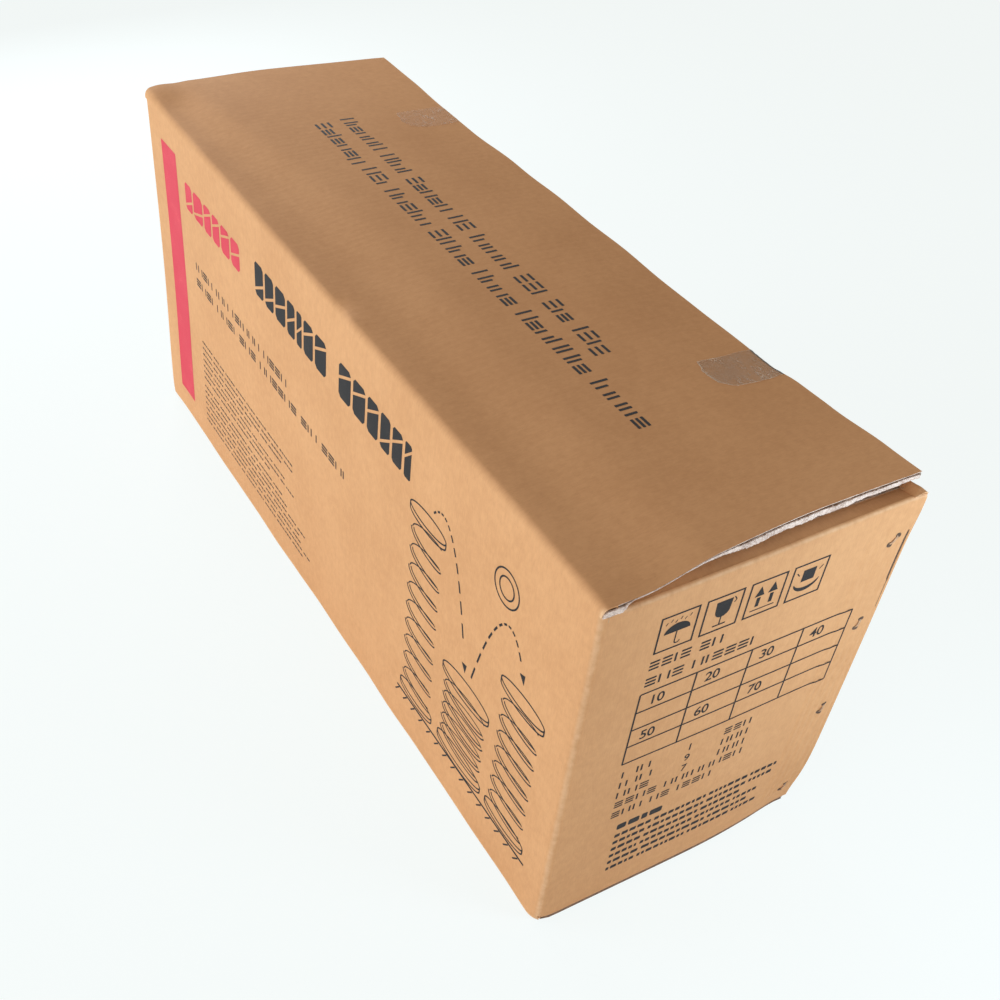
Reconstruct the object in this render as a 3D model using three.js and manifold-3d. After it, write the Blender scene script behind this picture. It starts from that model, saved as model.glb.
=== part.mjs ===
// A large corrugated shipping carton for one long, light load.
// The carton stands on z = 0 with its length along X. Its long printed side faces -Y and its
// label end faces +X. Its full-width outer flap is hinged along the printed side, and the
// manufacturer's joint is at the corner of +X and +Y. All lengths are in millimetres.

import * as THREE from 'three';
import { mergeVertices } from 'three/addons/utils/BufferGeometryUtils.js';
import Module from 'manifold-3d';

const wasm = await Module();
wasm.setup();

// Driving dimensions
const carton = {
  length: 880, // outside, along X
  width: 290, // outside, along Y
  height: 390, // floor to the top of the outer flap at its hinge
};
const board = 7; // thickness of the double-wall board
const gap = 0.3; // left between pieces that touch
const creaseRadius = 6; // outside radius of a folded edge
const overrun = 10; // how far a cutting solid reaches past what it cuts

const flap = {
  innerEdgeFromHinge: 116, // how far an inner flap stops short of the printed side
  endReach: 145, // length of each end flap, from the end panel's outside face
  endSideClearance: 4, // from an end flap to the long sides' inner faces
  setback: 5, // from an inner or bottom flap's cut end to the carton's end
  lidSkewAtFreeEdge: 12, // how far the outer flap's near end is cut back along its free edge
  rampFromHinge: 46, // where the outer flap begins to climb onto the inner flap
  crushWidth: 32, // strip of the bottom flap that the seam tape presses in
  crushDepth: 0.75, // depth of that strip
};

const tab = {
  reach: 42, // along the end panel, from the back panel's inner face
  thickness: 4, // its board is crushed flat where it is stapled
  topDrop: 18, // from the end flap's underside down to the tab's top
  bottomRise: 2, // from the bottom end flap up to the tab's foot
  taper: 13, // by which each end of the tab slopes towards its free edge
};

const staple = {
  crown: 15, // outside length of the crown
  crownSlope: Math.PI / 4, // from level, rising towards the joint
  wireWidth: 2, // flattened wire
  wireThickness: 0.6,
  legWidth: 1.1, // the legs are rounder
  clinch: 5, // length of each turned leg end
  hole: 0.35, // clearance all round each leg
  fromJoint: 17, // crown's middle to the corner edge
  endInset: 12.5, // from each end of the tab to the nearest crown's middle
  heightShares: [0, 0.37, 0.71, 1], // of the height between the first and last crowns
};

const tape = {
  width: 48,
  thickness: 0.3,
  topLeg: 66, // on the outer flap
  backLeg: 62, // down the back panel
  placeShare: 0.298, // of the length, each way from the middle
  seamLeg: 24, // on each side of the bottom seam
  seamInset: 14, // from each end of the carton
};

const arcSteps = 6;
const rampSteps = 8;

// Heights that the stack of flaps gives
const half = { length: carton.length / 2, width: carton.width / 2 };
const lidUnderside = carton.height - board;
const endFlapTop = lidUnderside - gap;
const endFlapUnderside = endFlapTop - board;
const climb = board + gap; // the outer flap's rise over the inner flap
const rampStart = flap.rampFromHinge - half.width;
const innerFlapEdge = flap.innerEdgeFromHinge - half.width;
const bottomInnerFloor = board + gap;
const bottomEndFloor = bottomInnerFloor + board + gap;
const bottomEndTop = bottomEndFloor + board;
const wallFoot = board + gap;
const wallTop = endFlapTop;
const tabFoot = bottomEndTop + tab.bottomRise;
const tabTop = endFlapUnderside - tab.topDrop;

// Colours of the board, the wire and the tape
const kraft = { color: 0xc99a6b, roughness: 0.86, metalness: 0 };
const kraftDark = { color: 0xb98a5c, roughness: 0.88, metalness: 0 };
const wire = { color: 0x8b8d90, roughness: 0.4, metalness: 1 };
const film = { color: 0xc7a47c, roughness: 0.25, metalness: 0 };

// Solids

function arcPoints(cx, cy, radius, from, to) {
  const points = [];
  for (let i = 0; i <= arcSteps; i += 1) {
    const angle = from + ((to - from) * i) / arcSteps;
    points.push([cx + radius * Math.cos(angle), cy + radius * Math.sin(angle)]);
  }
  return points;
}

function prism(points, depth) {
  const shape = new THREE.Shape(points.map(([x, y]) => new THREE.Vector2(x, y)));
  return new THREE.ExtrudeGeometry(shape, { depth, bevelEnabled: false, steps: 1 });
}

// A profile drawn as (y, z) and run along X from x0 to x1.
function alongX(points, x0, x1) {
  const geometry = prism(points, x1 - x0);
  const [x, y, z] = [0, 1, 2].map((i) => new THREE.Vector3().setComponent(i, 1));
  geometry.applyMatrix4(new THREE.Matrix4().makeBasis(y, z, x));
  return geometry.translate(x0, 0, 0);
}

// A plan drawn as (x, y) and raised from z0 to z1.
function alongZ(points, z0, z1) {
  return prism(points, z1 - z0).translate(0, 0, z0);
}

function block([x0, y0, z0], [x1, y1, z1]) {
  const geometry = new THREE.BoxGeometry(x1 - x0, y1 - y0, z1 - z0);
  return geometry.translate((x0 + x1) / 2, (y0 + y1) / 2, (z0 + z1) / 2);
}

function toSolid(geometry) {
  const bare = geometry.clone();
  bare.deleteAttribute('normal');
  bare.deleteAttribute('uv');
  const merged = mergeVertices(bare);
  return new wasm.Manifold(new wasm.Mesh({
    numProp: 3,
    vertProperties: new Float32Array(merged.attributes.position.array),
    triVerts: new Uint32Array(merged.index.array),
  }));
}

function toGeometry(solid) {
  const { vertProperties, triVerts } = solid.getMesh();
  const geometry = new THREE.BufferGeometry();
  geometry.setAttribute('position', new THREE.BufferAttribute(vertProperties, 3));
  geometry.setIndex(new THREE.BufferAttribute(triVerts, 1));
  geometry.computeVertexNormals();
  return geometry;
}

function common(a, b) {
  return toGeometry(toSolid(a).intersect(toSolid(b)));
}

function cutFrom(geometry, cutters) {
  let solid = toSolid(geometry);
  for (const cutter of cutters) {
    solid = solid.subtract(toSolid(cutter));
  }
  return toGeometry(solid);
}

function joined(geometries) {
  let solid = toSolid(geometries[0]);
  for (const other of geometries.slice(1)) {
    solid = solid.add(toSolid(other));
  }
  return toGeometry(solid);
}

// Walls

// A wall is drawn in plan with its outside face on v = 0 and its thickness towards +v.
// A folded end turns half of the corner's arc and is mitred, and a joint end turns all of it.
function wallPlan(u0, u1, startEnd, finish) {
  const r = creaseRadius;
  const slip = gap / Math.SQRT2;
  const ends = {
    folded: (u, side) => [
      ...arcPoints(r + slip, r, r, -Math.PI / 2, -Math.PI * 0.75),
      [board + slip, board],
    ].map(([a, b]) => [u - side * a, b]),
    joint: (u, side) => [
      ...arcPoints(r, r, r, -Math.PI / 2, -Math.PI),
      [0, board],
    ].map(([a, b]) => [u - side * a, b]),
    cut: (u) => [[u, 0], [u, board]],
  };
  return [...ends[finish](u1, 1), ...ends[startEnd](u0, -1).reverse()];
}

// The wall's section up its height. A flap tucked inside a wall turns that edge of the wall
// over, and a flap that lies across the wall's edge leaves the edge square.
function wallSection(turned) {
  const r = creaseRadius;
  const top = turned.top
    ? arcPoints(r, wallTop - r, r, Math.PI / 2, Math.PI)
    : [[0, wallTop]];
  const foot = turned.foot
    ? arcPoints(r, wallFoot + r, r, Math.PI, Math.PI * 1.5)
    : [[0, wallFoot]];
  return [[board, wallFoot], [board, wallTop], ...top, ...foot];
}

function wallGeometry([u0, u1], [startEnd, finish], turned) {
  const plan = alongZ(wallPlan(u0, u1, startEnd, finish), wallFoot, wallTop);
  const section = alongX(wallSection(turned), u0 - overrun, u1 + overrun);
  return common(plan, section);
}

// Flaps

// Height of the outer flap's underside above its hinge level, across the carton.
function lidRise(y) {
  const t = Math.min(Math.max((y - rampStart) / (innerFlapEdge - rampStart), 0), 1);
  return (climb * (1 - Math.cos(Math.PI * t))) / 2;
}

function rampStations() {
  const stations = [];
  for (let i = 0; i <= rampSteps; i += 1) {
    stations.push(rampStart + ((innerFlapEdge - rampStart) * i) / rampSteps);
  }
  return stations;
}

function outerFlapGeometry() {
  const r = creaseRadius;
  const under = [-half.width, ...rampStations(), half.width];
  const over = [...rampStations().reverse()];
  const profile = [
    ...under.map((y) => [y, lidUnderside + lidRise(y)]),
    [half.width, carton.height + climb],
    ...over.map((y) => [y, carton.height + lidRise(y)]),
    ...arcPoints(r - half.width, carton.height - r, r, Math.PI / 2, Math.PI),
  ];
  const plan = [
    [-half.length, -half.width - overrun],
    [half.length, -half.width - overrun],
    [half.length, -half.width],
    [half.length - flap.lidSkewAtFreeEdge, half.width],
    [half.length - flap.lidSkewAtFreeEdge, half.width + overrun],
    [-half.length, half.width + overrun],
  ];
  return common(
    alongX(profile, -half.length, half.length),
    alongZ(plan, lidUnderside - overrun, carton.height + climb + overrun),
  );
}

function innerFlapGeometry() {
  const r = creaseRadius;
  const profile = [
    [innerFlapEdge, lidUnderside],
    [half.width, lidUnderside],
    ...arcPoints(half.width - r, carton.height - r, r, 0, Math.PI / 2),
    [innerFlapEdge, carton.height],
  ];
  return alongX(profile, flap.setback - half.length, half.length - flap.lidSkewAtFreeEdge);
}

// An end flap lies inside the walls. side is 1 at the label end and -1 at the far end.
function endFlapGeometry(side, z0) {
  const heel = half.length - board - gap;
  const tip = half.length - flap.endReach;
  const reach = half.width - board - flap.endSideClearance;
  const [x0, x1] = side > 0 ? [tip, heel] : [-heel, -tip];
  return block([x0, -reach, z0], [x1, reach, z0 + board]);
}

function bottomOuterGeometry() {
  const r = creaseRadius;
  const crush = half.width - flap.crushWidth;
  const profile = [
    ...arcPoints(r - half.width, r, r, Math.PI, Math.PI * 1.5),
    [crush, 0],
    [crush + flap.crushDepth, flap.crushDepth],
    [half.width, flap.crushDepth],
    [half.width, board],
    [-half.width, board],
  ];
  return alongX(profile, flap.setback - half.length, half.length - flap.setback);
}

function bottomInnerGeometry() {
  const heel = half.width - board - gap;
  const reach = half.length - board - gap;
  return block([-reach, innerFlapEdge, bottomInnerFloor], [reach, heel, bottomInnerFloor + board]);
}

// Joint

const tabBack = half.width - board - gap; // the tab's edge beside the back panel
const tabFace = half.length - board - gap; // the tab's face against the end panel

function tabGeometry() {
  const profile = [
    [tabBack, tabFoot],
    [tabBack, tabTop],
    [tabBack - tab.reach, tabTop - tab.taper],
    [tabBack - tab.reach, tabFoot + tab.taper],
  ];
  return alongX(profile, tabFace - tab.thickness, tabFace);
}

// Middle of one staple's crown, as (y, z).
function crownPlace(share) {
  const lowest = tabFoot + staple.endInset;
  const highest = tabTop - staple.endInset;
  return [half.width - staple.fromJoint, lowest + (highest - lowest) * share];
}

// Middles of its two legs.
function legPlaces(share) {
  const [y, z] = crownPlace(share);
  const reach = (staple.crown - staple.wireWidth) / 2;
  return [-1, 1].map((side) => [
    y + side * reach * Math.cos(staple.crownSlope),
    z + side * reach * Math.sin(staple.crownSlope),
  ]);
}

function legBlock([y, z], x0, x1, wide) {
  return block([x0, y - wide / 2, z - wide / 2], [x1, y + wide / 2, z + wide / 2]);
}

// A flat bar in the plane of the end panel, centred on (y, z) and turned to the crown's slope.
function wireBar([y, z], long, x0, x1) {
  const bar = new THREE.BoxGeometry(x1 - x0, long, staple.wireWidth);
  bar.rotateX(staple.crownSlope);
  return bar.translate((x0 + x1) / 2, y, z);
}

function stapleGeometry(share) {
  const legs = legPlaces(share);
  const inside = tabFace - tab.thickness - gap;
  const outside = half.length + gap;
  const crown = wireBar(crownPlace(share), staple.crown, outside, outside + staple.wireThickness);
  const lap = staple.wireThickness / 2; // by which each leg runs into the crown and the clinch
  const pins = legs.map((leg) => legBlock(leg, inside - lap, outside + lap, staple.legWidth));
  const turned = legs.map(([legY, legZ], i) => {
    const inwards = (i === 0 ? 1 : -1) * (staple.clinch / 2 - staple.legWidth / 2);
    const middle = [
      legY + inwards * Math.cos(staple.crownSlope),
      legZ + inwards * Math.sin(staple.crownSlope),
    ];
    return wireBar(middle, staple.clinch, inside - staple.wireThickness, inside);
  });
  return joined([crown, ...pins, ...turned]);
}

function legHoles() {
  const wide = staple.legWidth + 2 * staple.hole;
  const x0 = tabFace - tab.thickness - overrun;
  return staple.heightShares.flatMap((share) => (
    legPlaces(share).map((leg) => legBlock(leg, x0, half.length + overrun, wide))
  ));
}

// Tape

// An L-shaped strip folded over an edge, drawn as (y, z) round its inside corner.
function foldedStrip(cornerY, cornerZ, legAcross, legDown, down) {
  const t = tape.thickness;
  const [y, z] = [cornerY, cornerZ];
  const outline = [
    [y - legAcross, z],
    [y, z],
    [y, z + down * legDown],
    [y + t, z + down * legDown],
    [y + t, z - down * t],
    [y - legAcross, z - down * t],
  ];
  return down < 0 ? outline : outline.reverse();
}

function lidTapeGeometry(side) {
  const middle = side * tape.placeShare * carton.length;
  const corner = [half.width + gap, carton.height + climb + gap];
  const outline = foldedStrip(...corner, tape.topLeg, tape.backLeg, -1);
  return alongX(outline, middle - tape.width / 2, middle + tape.width / 2);
}

function seamTapeGeometry() {
  const corner = [half.width + gap, flap.crushDepth - gap];
  const outline = foldedStrip(...corner, tape.seamLeg, tape.seamLeg, 1);
  return alongX(outline, tape.seamInset - half.length, half.length - tape.seamInset);
}

// Assembly

const group = new THREE.Group();

function addPiece(name, geometry, finish, place = {}) {
  const mesh = new THREE.Mesh(geometry, new THREE.MeshStandardMaterial(finish));
  mesh.name = name;
  mesh.position.set(place.x ?? 0, place.y ?? 0, place.z ?? 0);
  mesh.rotation.z = place.turn ?? 0;
  group.add(mesh);
  return mesh;
}

// The four walls, each drawn along its own face and turned to its side of the carton.
const acrossLength = [-half.length, half.length];
const acrossWidth = [-half.width, half.width];
addPiece(
  'front_side_panel',
  wallGeometry(acrossLength, ['folded', 'folded'], {}),
  kraft,
  { y: -half.width },
);
// The end panel's joint end is cut off square, level with the back panel's outside face.
const endPanel = wallGeometry(acrossWidth, ['folded', 'cut'], { top: true, foot: true });
endPanel.rotateZ(Math.PI / 2).translate(half.length, 0, 0);
addPiece('label_end_panel', cutFrom(endPanel, legHoles()), kraft);
addPiece(
  'back_side_panel',
  wallGeometry([board + gap - half.length, half.length], ['joint', 'folded'], { foot: true }),
  kraft,
  { y: half.width, turn: Math.PI },
);
addPiece(
  'far_end_panel',
  wallGeometry(acrossWidth, ['folded', 'folded'], { top: true, foot: true }),
  kraft,
  { x: -half.length, turn: -Math.PI / 2 },
);

addPiece('joint_tab', cutFrom(tabGeometry(), legHoles()), kraftDark);
staple.heightShares.forEach((share, i) => {
  addPiece(`joint_staple_${i + 1}`, stapleGeometry(share), wire);
});

addPiece('top_outer_flap', outerFlapGeometry(), kraft);
addPiece('top_inner_flap', innerFlapGeometry(), kraftDark);
addPiece('top_label_end_flap', endFlapGeometry(1, endFlapUnderside), kraftDark);
addPiece('top_far_end_flap', endFlapGeometry(-1, endFlapUnderside), kraftDark);

addPiece('bottom_outer_flap', bottomOuterGeometry(), kraft);
addPiece('bottom_inner_flap', bottomInnerGeometry(), kraftDark);
addPiece('bottom_label_end_flap', endFlapGeometry(1, bottomEndFloor), kraftDark);
addPiece('bottom_far_end_flap', endFlapGeometry(-1, bottomEndFloor), kraftDark);

addPiece('near_lid_tape', lidTapeGeometry(1), film);
addPiece('far_lid_tape', lidTapeGeometry(-1), film);
addPiece('bottom_seam_tape', seamTapeGeometry(), film);

export default group;
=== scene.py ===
"""A closed double-wall shipping carton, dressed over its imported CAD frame.

Lengths are metres in the frame's axes: +X runs along the carton towards the end that carries the
handling marks, -Y is the printed long side, and Z is up from the floor. Every board is two curved
sheets worked out on a grid, joined round its rim by the cut edge's three papers and two open flutes.
"""

import logging
import math
from collections.abc import Callable, Sequence
from dataclasses import dataclass
from enum import Enum

import bmesh
import bpy
import numpy as np
from mathutils import Matrix, Vector


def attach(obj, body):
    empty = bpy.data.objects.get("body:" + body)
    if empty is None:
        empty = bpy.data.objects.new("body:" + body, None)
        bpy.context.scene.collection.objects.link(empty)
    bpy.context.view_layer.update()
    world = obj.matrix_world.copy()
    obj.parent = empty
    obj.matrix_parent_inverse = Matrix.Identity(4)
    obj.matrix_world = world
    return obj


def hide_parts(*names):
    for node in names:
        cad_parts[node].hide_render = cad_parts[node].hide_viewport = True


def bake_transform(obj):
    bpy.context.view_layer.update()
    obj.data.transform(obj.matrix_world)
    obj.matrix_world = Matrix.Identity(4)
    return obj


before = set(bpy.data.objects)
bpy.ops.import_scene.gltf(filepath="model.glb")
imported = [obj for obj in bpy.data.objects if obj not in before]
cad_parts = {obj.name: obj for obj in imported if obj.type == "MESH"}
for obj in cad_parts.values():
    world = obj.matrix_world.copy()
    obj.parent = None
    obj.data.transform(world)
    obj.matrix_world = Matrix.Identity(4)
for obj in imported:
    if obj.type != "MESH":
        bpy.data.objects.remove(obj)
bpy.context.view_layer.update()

LOG = logging.getLogger("carton")

Array = np.ndarray
Finish = bpy.types.Material
Pair = tuple[float, float]
Triple = tuple[float, float, float]
Box = tuple[float, float, float, float]
Colour = Triple
Stations = tuple[Pair, ...]
Placer = Callable[[Array, Array], Array]
Sockets = dict[str | int, object]
Row = tuple[float, float, float, tuple[int, ...], int]
Lamp = tuple[str, Triple, float, float, Colour]


class Flutes(Enum):
    """The axis along which a board's flutes repeat, as a column of its points."""

    ALONG_X = 0
    ALONG_Y = 1


class Marks(Enum):
    """What stands in a row of print where letters were."""

    BLOCKS = "blocks"
    SLIT_BLOCKS = "slit blocks"
    BARS = "bars"


class Rim(Enum):
    """How one side of a board ends."""

    CLOSED = "closed"
    OPEN_FLUTES = "open flutes"
    TORN = "torn"


CLOSED, OPEN, TORN = Rim.CLOSED, Rim.OPEN_FLUTES, Rim.TORN
Rims = tuple[Rim, Rim, Rim, Rim]


class Corner(Enum):
    """How a wall ends at an upright corner."""

    MITRE = "mitre"
    CUT = "cut"
    FOLD = "fold"


@dataclass(frozen=True)
class CartonSizes:
    """The sizes that several boards share."""

    half_length: float = 0.440
    half_width: float = 0.145
    height: float = 0.390
    board: float = 0.007
    gap: float = 0.0003
    crease: float = 0.006
    flap_side: float = 0.134
    flap_tip: float = 0.295
    inner_edge: float = -0.029
    tab: float = 0.004

    @property
    def rim_height(self) -> float:
        """The top of the four walls, where the lid boards begin."""
        return self.height - self.board - self.gap


SIZES = CartonSizes()
HALF, SIDE, RIM, TOP = SIZES.half_length, SIZES.half_width, SIZES.rim_height, SIZES.height
BOARD, GAP, CREASE = SIZES.board, SIZES.gap, SIZES.crease
TURN = 2 * math.pi
PRINT_LIFT = 0.00012


def ease(share: Array | float) -> Array:
    """A smooth step: 0 below 0, 1 above 1, and t squared times (3 - 2t) between."""
    held = np.clip(share, 0.0, 1.0)
    return held * held * (3.0 - 2.0 * held)


def rough(across: Array, along: Array, cell: float, seed: int) -> Array:
    """Smooth random heights: seeded numbers on a square lattice, blended between its corners by ease.

    Args:
        across: First coordinates.
        along: Second coordinates.
        cell: The lattice's cell size.
        seed: Picks the random numbers.

    Returns:
        Values between -1 and 1.
    """
    size = 97
    heights = np.random.default_rng(seed).uniform(-1.0, 1.0, (size, size))
    first, second = np.broadcast_arrays(np.asarray(across) / cell, np.asarray(along) / cell)
    row, column = np.floor(first).astype(int), np.floor(second).astype(int)
    down, over = ease(first - row), ease(second - column)
    near, far = (
        heights[line % size, column % size] * (1 - over) + heights[line % size, (column + 1) % size] * over
        for line in (row, row + 1)
    )
    return near * (1 - down) + far * down


def spread(start: float, stop: float, step: float, fine: float = 0.0, margin: float = 0.0) -> Array:
    """Grid stations from start to stop: even steps, with finer even steps inside a margin at both ends.

    Args:
        start: The first station.
        stop: The last station.
        step: The widest gap in the middle.
        fine: The widest gap inside the margins, or 0 for none.
        margin: The margins' length.

    Returns:
        The stations in rising or falling order.
    """
    length = abs(stop - start)
    if not fine or length <= 2 * margin:
        return np.linspace(start, stop, max(2, math.ceil(length / (fine or step)) + 1))
    sign = math.copysign(1.0, stop - start)
    few = math.ceil(margin / fine) + 1
    first = np.linspace(start, start + sign * margin, few)
    last = np.linspace(stop - sign * margin, stop, few)
    middle = np.linspace(first[-1], last[0], max(2, math.ceil((length - 2 * margin) / step) + 1))
    return np.concatenate([first, middle[1:-1], last])


def quarter(radius: float, sweep: float = math.pi / 2, count: int = 6) -> tuple[Array, Array]:
    """A rounded corner: runs of radius times the angle's sine, sinks of radius times (1 - its cosine)."""
    angle = np.linspace(0.0, sweep, count)
    return radius * np.sin(angle), radius * (1 - np.cos(angle))


def merge(*columns: Array | float) -> Array:
    """Points, or places on a board, from their coordinates."""
    return np.stack(np.broadcast_arrays(*columns), axis=-1)


def lattice(rows: Array, columns: Array) -> list[Array]:
    """Both coordinates of every crossing of rows and columns."""
    return np.meshgrid(rows, columns, indexing="ij")


def unit(vectors: Array) -> Array:
    """The same directions at length 1; a vector of no length stays as it is."""
    return vectors / np.maximum(np.linalg.norm(vectors, axis=-1, keepdims=True), 1e-12)


def aside(path: Array) -> Array:
    """Unit vectors square to a flat path, on its left."""
    way = unit(np.gradient(path, axis=0))
    return merge(-way[:, 1], way[:, 0])


def run_along(line: Array) -> Array:
    """How far each point of a line lies from its start, along the line."""
    return np.concatenate([[0], np.cumsum(np.linalg.norm(np.diff(line, axis=0), axis=1))])


def at_runs(line: Array, run: Array, wanted: Array) -> Array:
    """A line's points at the wanted distances from its start."""
    return merge(*(np.interp(wanted, run, line[:, axis]) for axis in range(3)))


def ellipse(middle: float, level: Array | float, wide: float, tall: float, angle: Array) -> Array:
    """Places round an ellipse: sideways the angle's cosine times wide, upwards its sine times tall."""
    return merge(middle + wide * np.cos(angle), level + tall * np.sin(angle))


def link(name: str, data: bpy.types.ID) -> bpy.types.Object:
    """A new object that shows its data in the scene."""
    holder = bpy.data.objects.new(name, data)
    bpy.context.scene.collection.objects.link(holder)
    return holder


def course(x: Array, stations: Stations) -> Array:
    """A value that runs smoothly through stations: between two of them the share is eased.

    Args:
        x: Places along the carton.
        stations: Each station's place and value, in rising order.

    Returns:
        The values, which stay level before the first and after the last station.
    """
    places, values = (np.array(column) for column in zip(*stations))
    index = np.clip(np.searchsorted(places, x) - 1, 0, len(places) - 2)
    share = (x - places[index]) / (places[index + 1] - places[index])
    return values[index] + (values[index + 1] - values[index]) * ease(share)


@dataclass(frozen=True)
class Push:
    """One soft shift of all that lies near a place; an axis whose place is None is free."""

    what: str
    shift: Triple
    place: tuple[float | None, float | None, float | None]
    reach: Triple
    seed: int = 0
    steady: float = 1.0
    wave_cell: float = 0.055

    def strength(self, points: Array) -> Array:
        """The share of the shift that each point takes.

        It is the exponential of minus the sum, over the placed axes, of the squared distance over the
        squared reach. With a seed, a steady part plus a smooth random wave along the free axis scales it.

        Args:
            points: Points with x, y and z last.

        Returns:
            The shares.
        """
        placed = [axis for axis in range(3) if self.place[axis] is not None]
        away = (((points[..., axis] - self.place[axis]) / self.reach[axis]) ** 2 for axis in placed)
        share = np.exp(-sum(away))
        if not self.seed:
            return share
        along = points[..., self.place.index(None)]
        return share * (self.steady + rough(along, 0 * along, self.wave_cell, self.seed))


WORN = (0.011, 0.011, 0.011)
PUSHES = (
    Push("worn hinge crease", (0, 0.00077, -0.00077), (None, -SIDE, TOP), WORN, 3, 0.75),
    Push("dent in the hinge crease", (0, 0.0025, -0.0025), (0.040, -SIDE, TOP), (0.016, 0.011, 0.011)),
    Push("worn back crease", (0, -0.00044, -0.00088), (None, SIDE, RIM), WORN, 5, 0.7),
    Push("worn near end crease", (-0.00088, 0, 0), (HALF, None, RIM), WORN, 8, 0.6),
    Push("worn far end crease", (0.0004, 0, 0), (-HALF, None, RIM), WORN, 8, 0.6),
    Push("near end lower at the hinge", (0, 0, -0.0020), (HALF, -0.10, RIM), (0.011, 0.14, 0.011)),
    Push("near end higher at the back", (0, 0, 0.0028), (HALF, SIDE, RIM), (0.011, 0.05, 0.011)),
    Push("far end lower", (0, 0, -0.0012), (-HALF, -0.05, RIM), (0.011, 0.14, 0.011)),
    Push("worn bottom crease", (0, 0.0006, 0.0006), (None, -SIDE, 0), WORN, 13, 0.6),
    Push("worn near upright", (-0.0006, 0.0006, 0), (HALF, -SIDE, None), WORN, 21, 0.5),
    Push("blunted near foot", (-0.0025, 0.0025, 0.0006), (HALF, -SIDE, 0), (0.009, 0.009, 0.012)),
    Push("raised far hinge corner", (-0.0015, 0, 0.0068), (-HALF, -0.131, TOP), (0.035, 0.019, 0.020)),
    Push("far upright forwards", (0, -0.0018, 0), (-HALF, -SIDE, None), (0.030, 0.020, 1)),
    Push("spread foot of the front", (0, -0.0048, 0), (-HALF, -SIDE, 0), (0.45, 0.020, 0.14)),
    Push("far free corner", (0, 0.0010, 0), (-HALF, SIDE, 0.388), (0.03, 0.05, 0.02)),
    Push("spread corner over the joint", (0.0010, 0.0016, 0), (HALF, SIDE, RIM), (0.03, 0.03, 0.03)),
    Push("crushed foot of the joint", (-0.0030, -0.0045, 0.0045), (HALF, SIDE, 0), (0.035, 0.035, 0.045)),
    Push("end panel leaning in at its foot", (-0.0035, 0, 0), (HALF, 0.11, 0), (0.03, 0.05, 0.05)),
    Push("joint leaning in at its foot", (0, -0.0022, 0), (HALF, SIDE, 0), (0.035, 0.035, 0.16)),
)


@dataclass(frozen=True)
class Crumple:
    """What handling did to the whole carton: its worn creases, pushed corners and bowed free edge."""

    pushes: tuple[Push, ...] = PUSHES
    bow: Stations = (
        (-0.42, 0.0), (-0.36, 0.0006), (-0.285, 0.0036), (-0.215, 0.0052), (-0.13, 0.0014),
        (0.0, 0.0014), (0.16, 0.0030), (0.262, 0.0026), (0.300, 0.0),
    )
    bow_depth: float = 0.06
    kept: float = 0.012
    # How far the paler crease band reaches; it is partly scuffing and partly painted highlight.
    scuff_and_highlight_reach: float = 0.0045
    # The end panels' top creases keep a narrower band: a thin painted highlight along that edge.
    end_highlight_narrowing: float = 1.7

    def press(self, points: Array) -> Array:
        """Moves points by every push, and the free edge inwards by the bow's course along the carton.

        Across the carton the bow grows by a smooth step towards the free edge, and below that edge it falls
        off as the exponential of minus the squared depth over the squared bow depth.

        Args:
            points: Points with x, y and z last.

        Returns:
            The moved points.
        """
        moved = np.array(points, float)
        for push in self.pushes:
            moved += push.strength(points)[..., None] * np.array(push.shift)
        x, y, z = points[..., 0], points[..., 1], points[..., 2]
        fade = np.exp(-(((z - TOP) / self.bow_depth) ** 2))
        moved[..., 1] -= course(x, self.bow) * ease((y - 0.05) / 0.09) * fade
        return moved

    def press_mesh(self, mesh: bpy.types.Mesh) -> None:
        """Moves a finished mesh's points by the same shifts.

        Args:
            mesh: The mesh.
        """
        flat = np.empty(len(mesh.vertices) * 3, np.float32)
        mesh.vertices.foreach_get("co", flat)
        moved = self.press(flat.reshape(-1, 3).astype(float))
        mesh.vertices.foreach_set("co", moved.astype(np.float32).ravel())
        mesh.update()

    def wear_and_highlight(self, points: Array) -> Array:
        """How pale each point turns near a crease, partly as scuffed wear and partly as a painted highlight:
        the exponential of minus the squared distance to the nearest crease.

        Args:
            points: Points with x, y and z last, before they are pressed.

        Returns:
            Shares from 0 to 1.
        """
        x, y, z = np.abs(points[..., 0]), points[..., 1], points[..., 2]
        side = np.abs(y)
        uprights = np.hypot(x - HALF, side - SIDE) + self.kept * (points[..., 0] * y > 0)
        hinge = np.hypot(y + SIDE, z - TOP) + self.kept * 0.2
        back = np.hypot(y - SIDE, z - RIM)
        ends = np.hypot(x - HALF, z - RIM) * self.end_highlight_narrowing
        feet = np.hypot(np.minimum(np.abs(x - HALF), np.abs(side - SIDE)), z)
        nearest = np.minimum.reduce([uprights, hinge, back, ends, feet])
        return np.exp(-((nearest / self.scuff_and_highlight_reach) ** 2))


CRUMPLE = Crumple()


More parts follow.
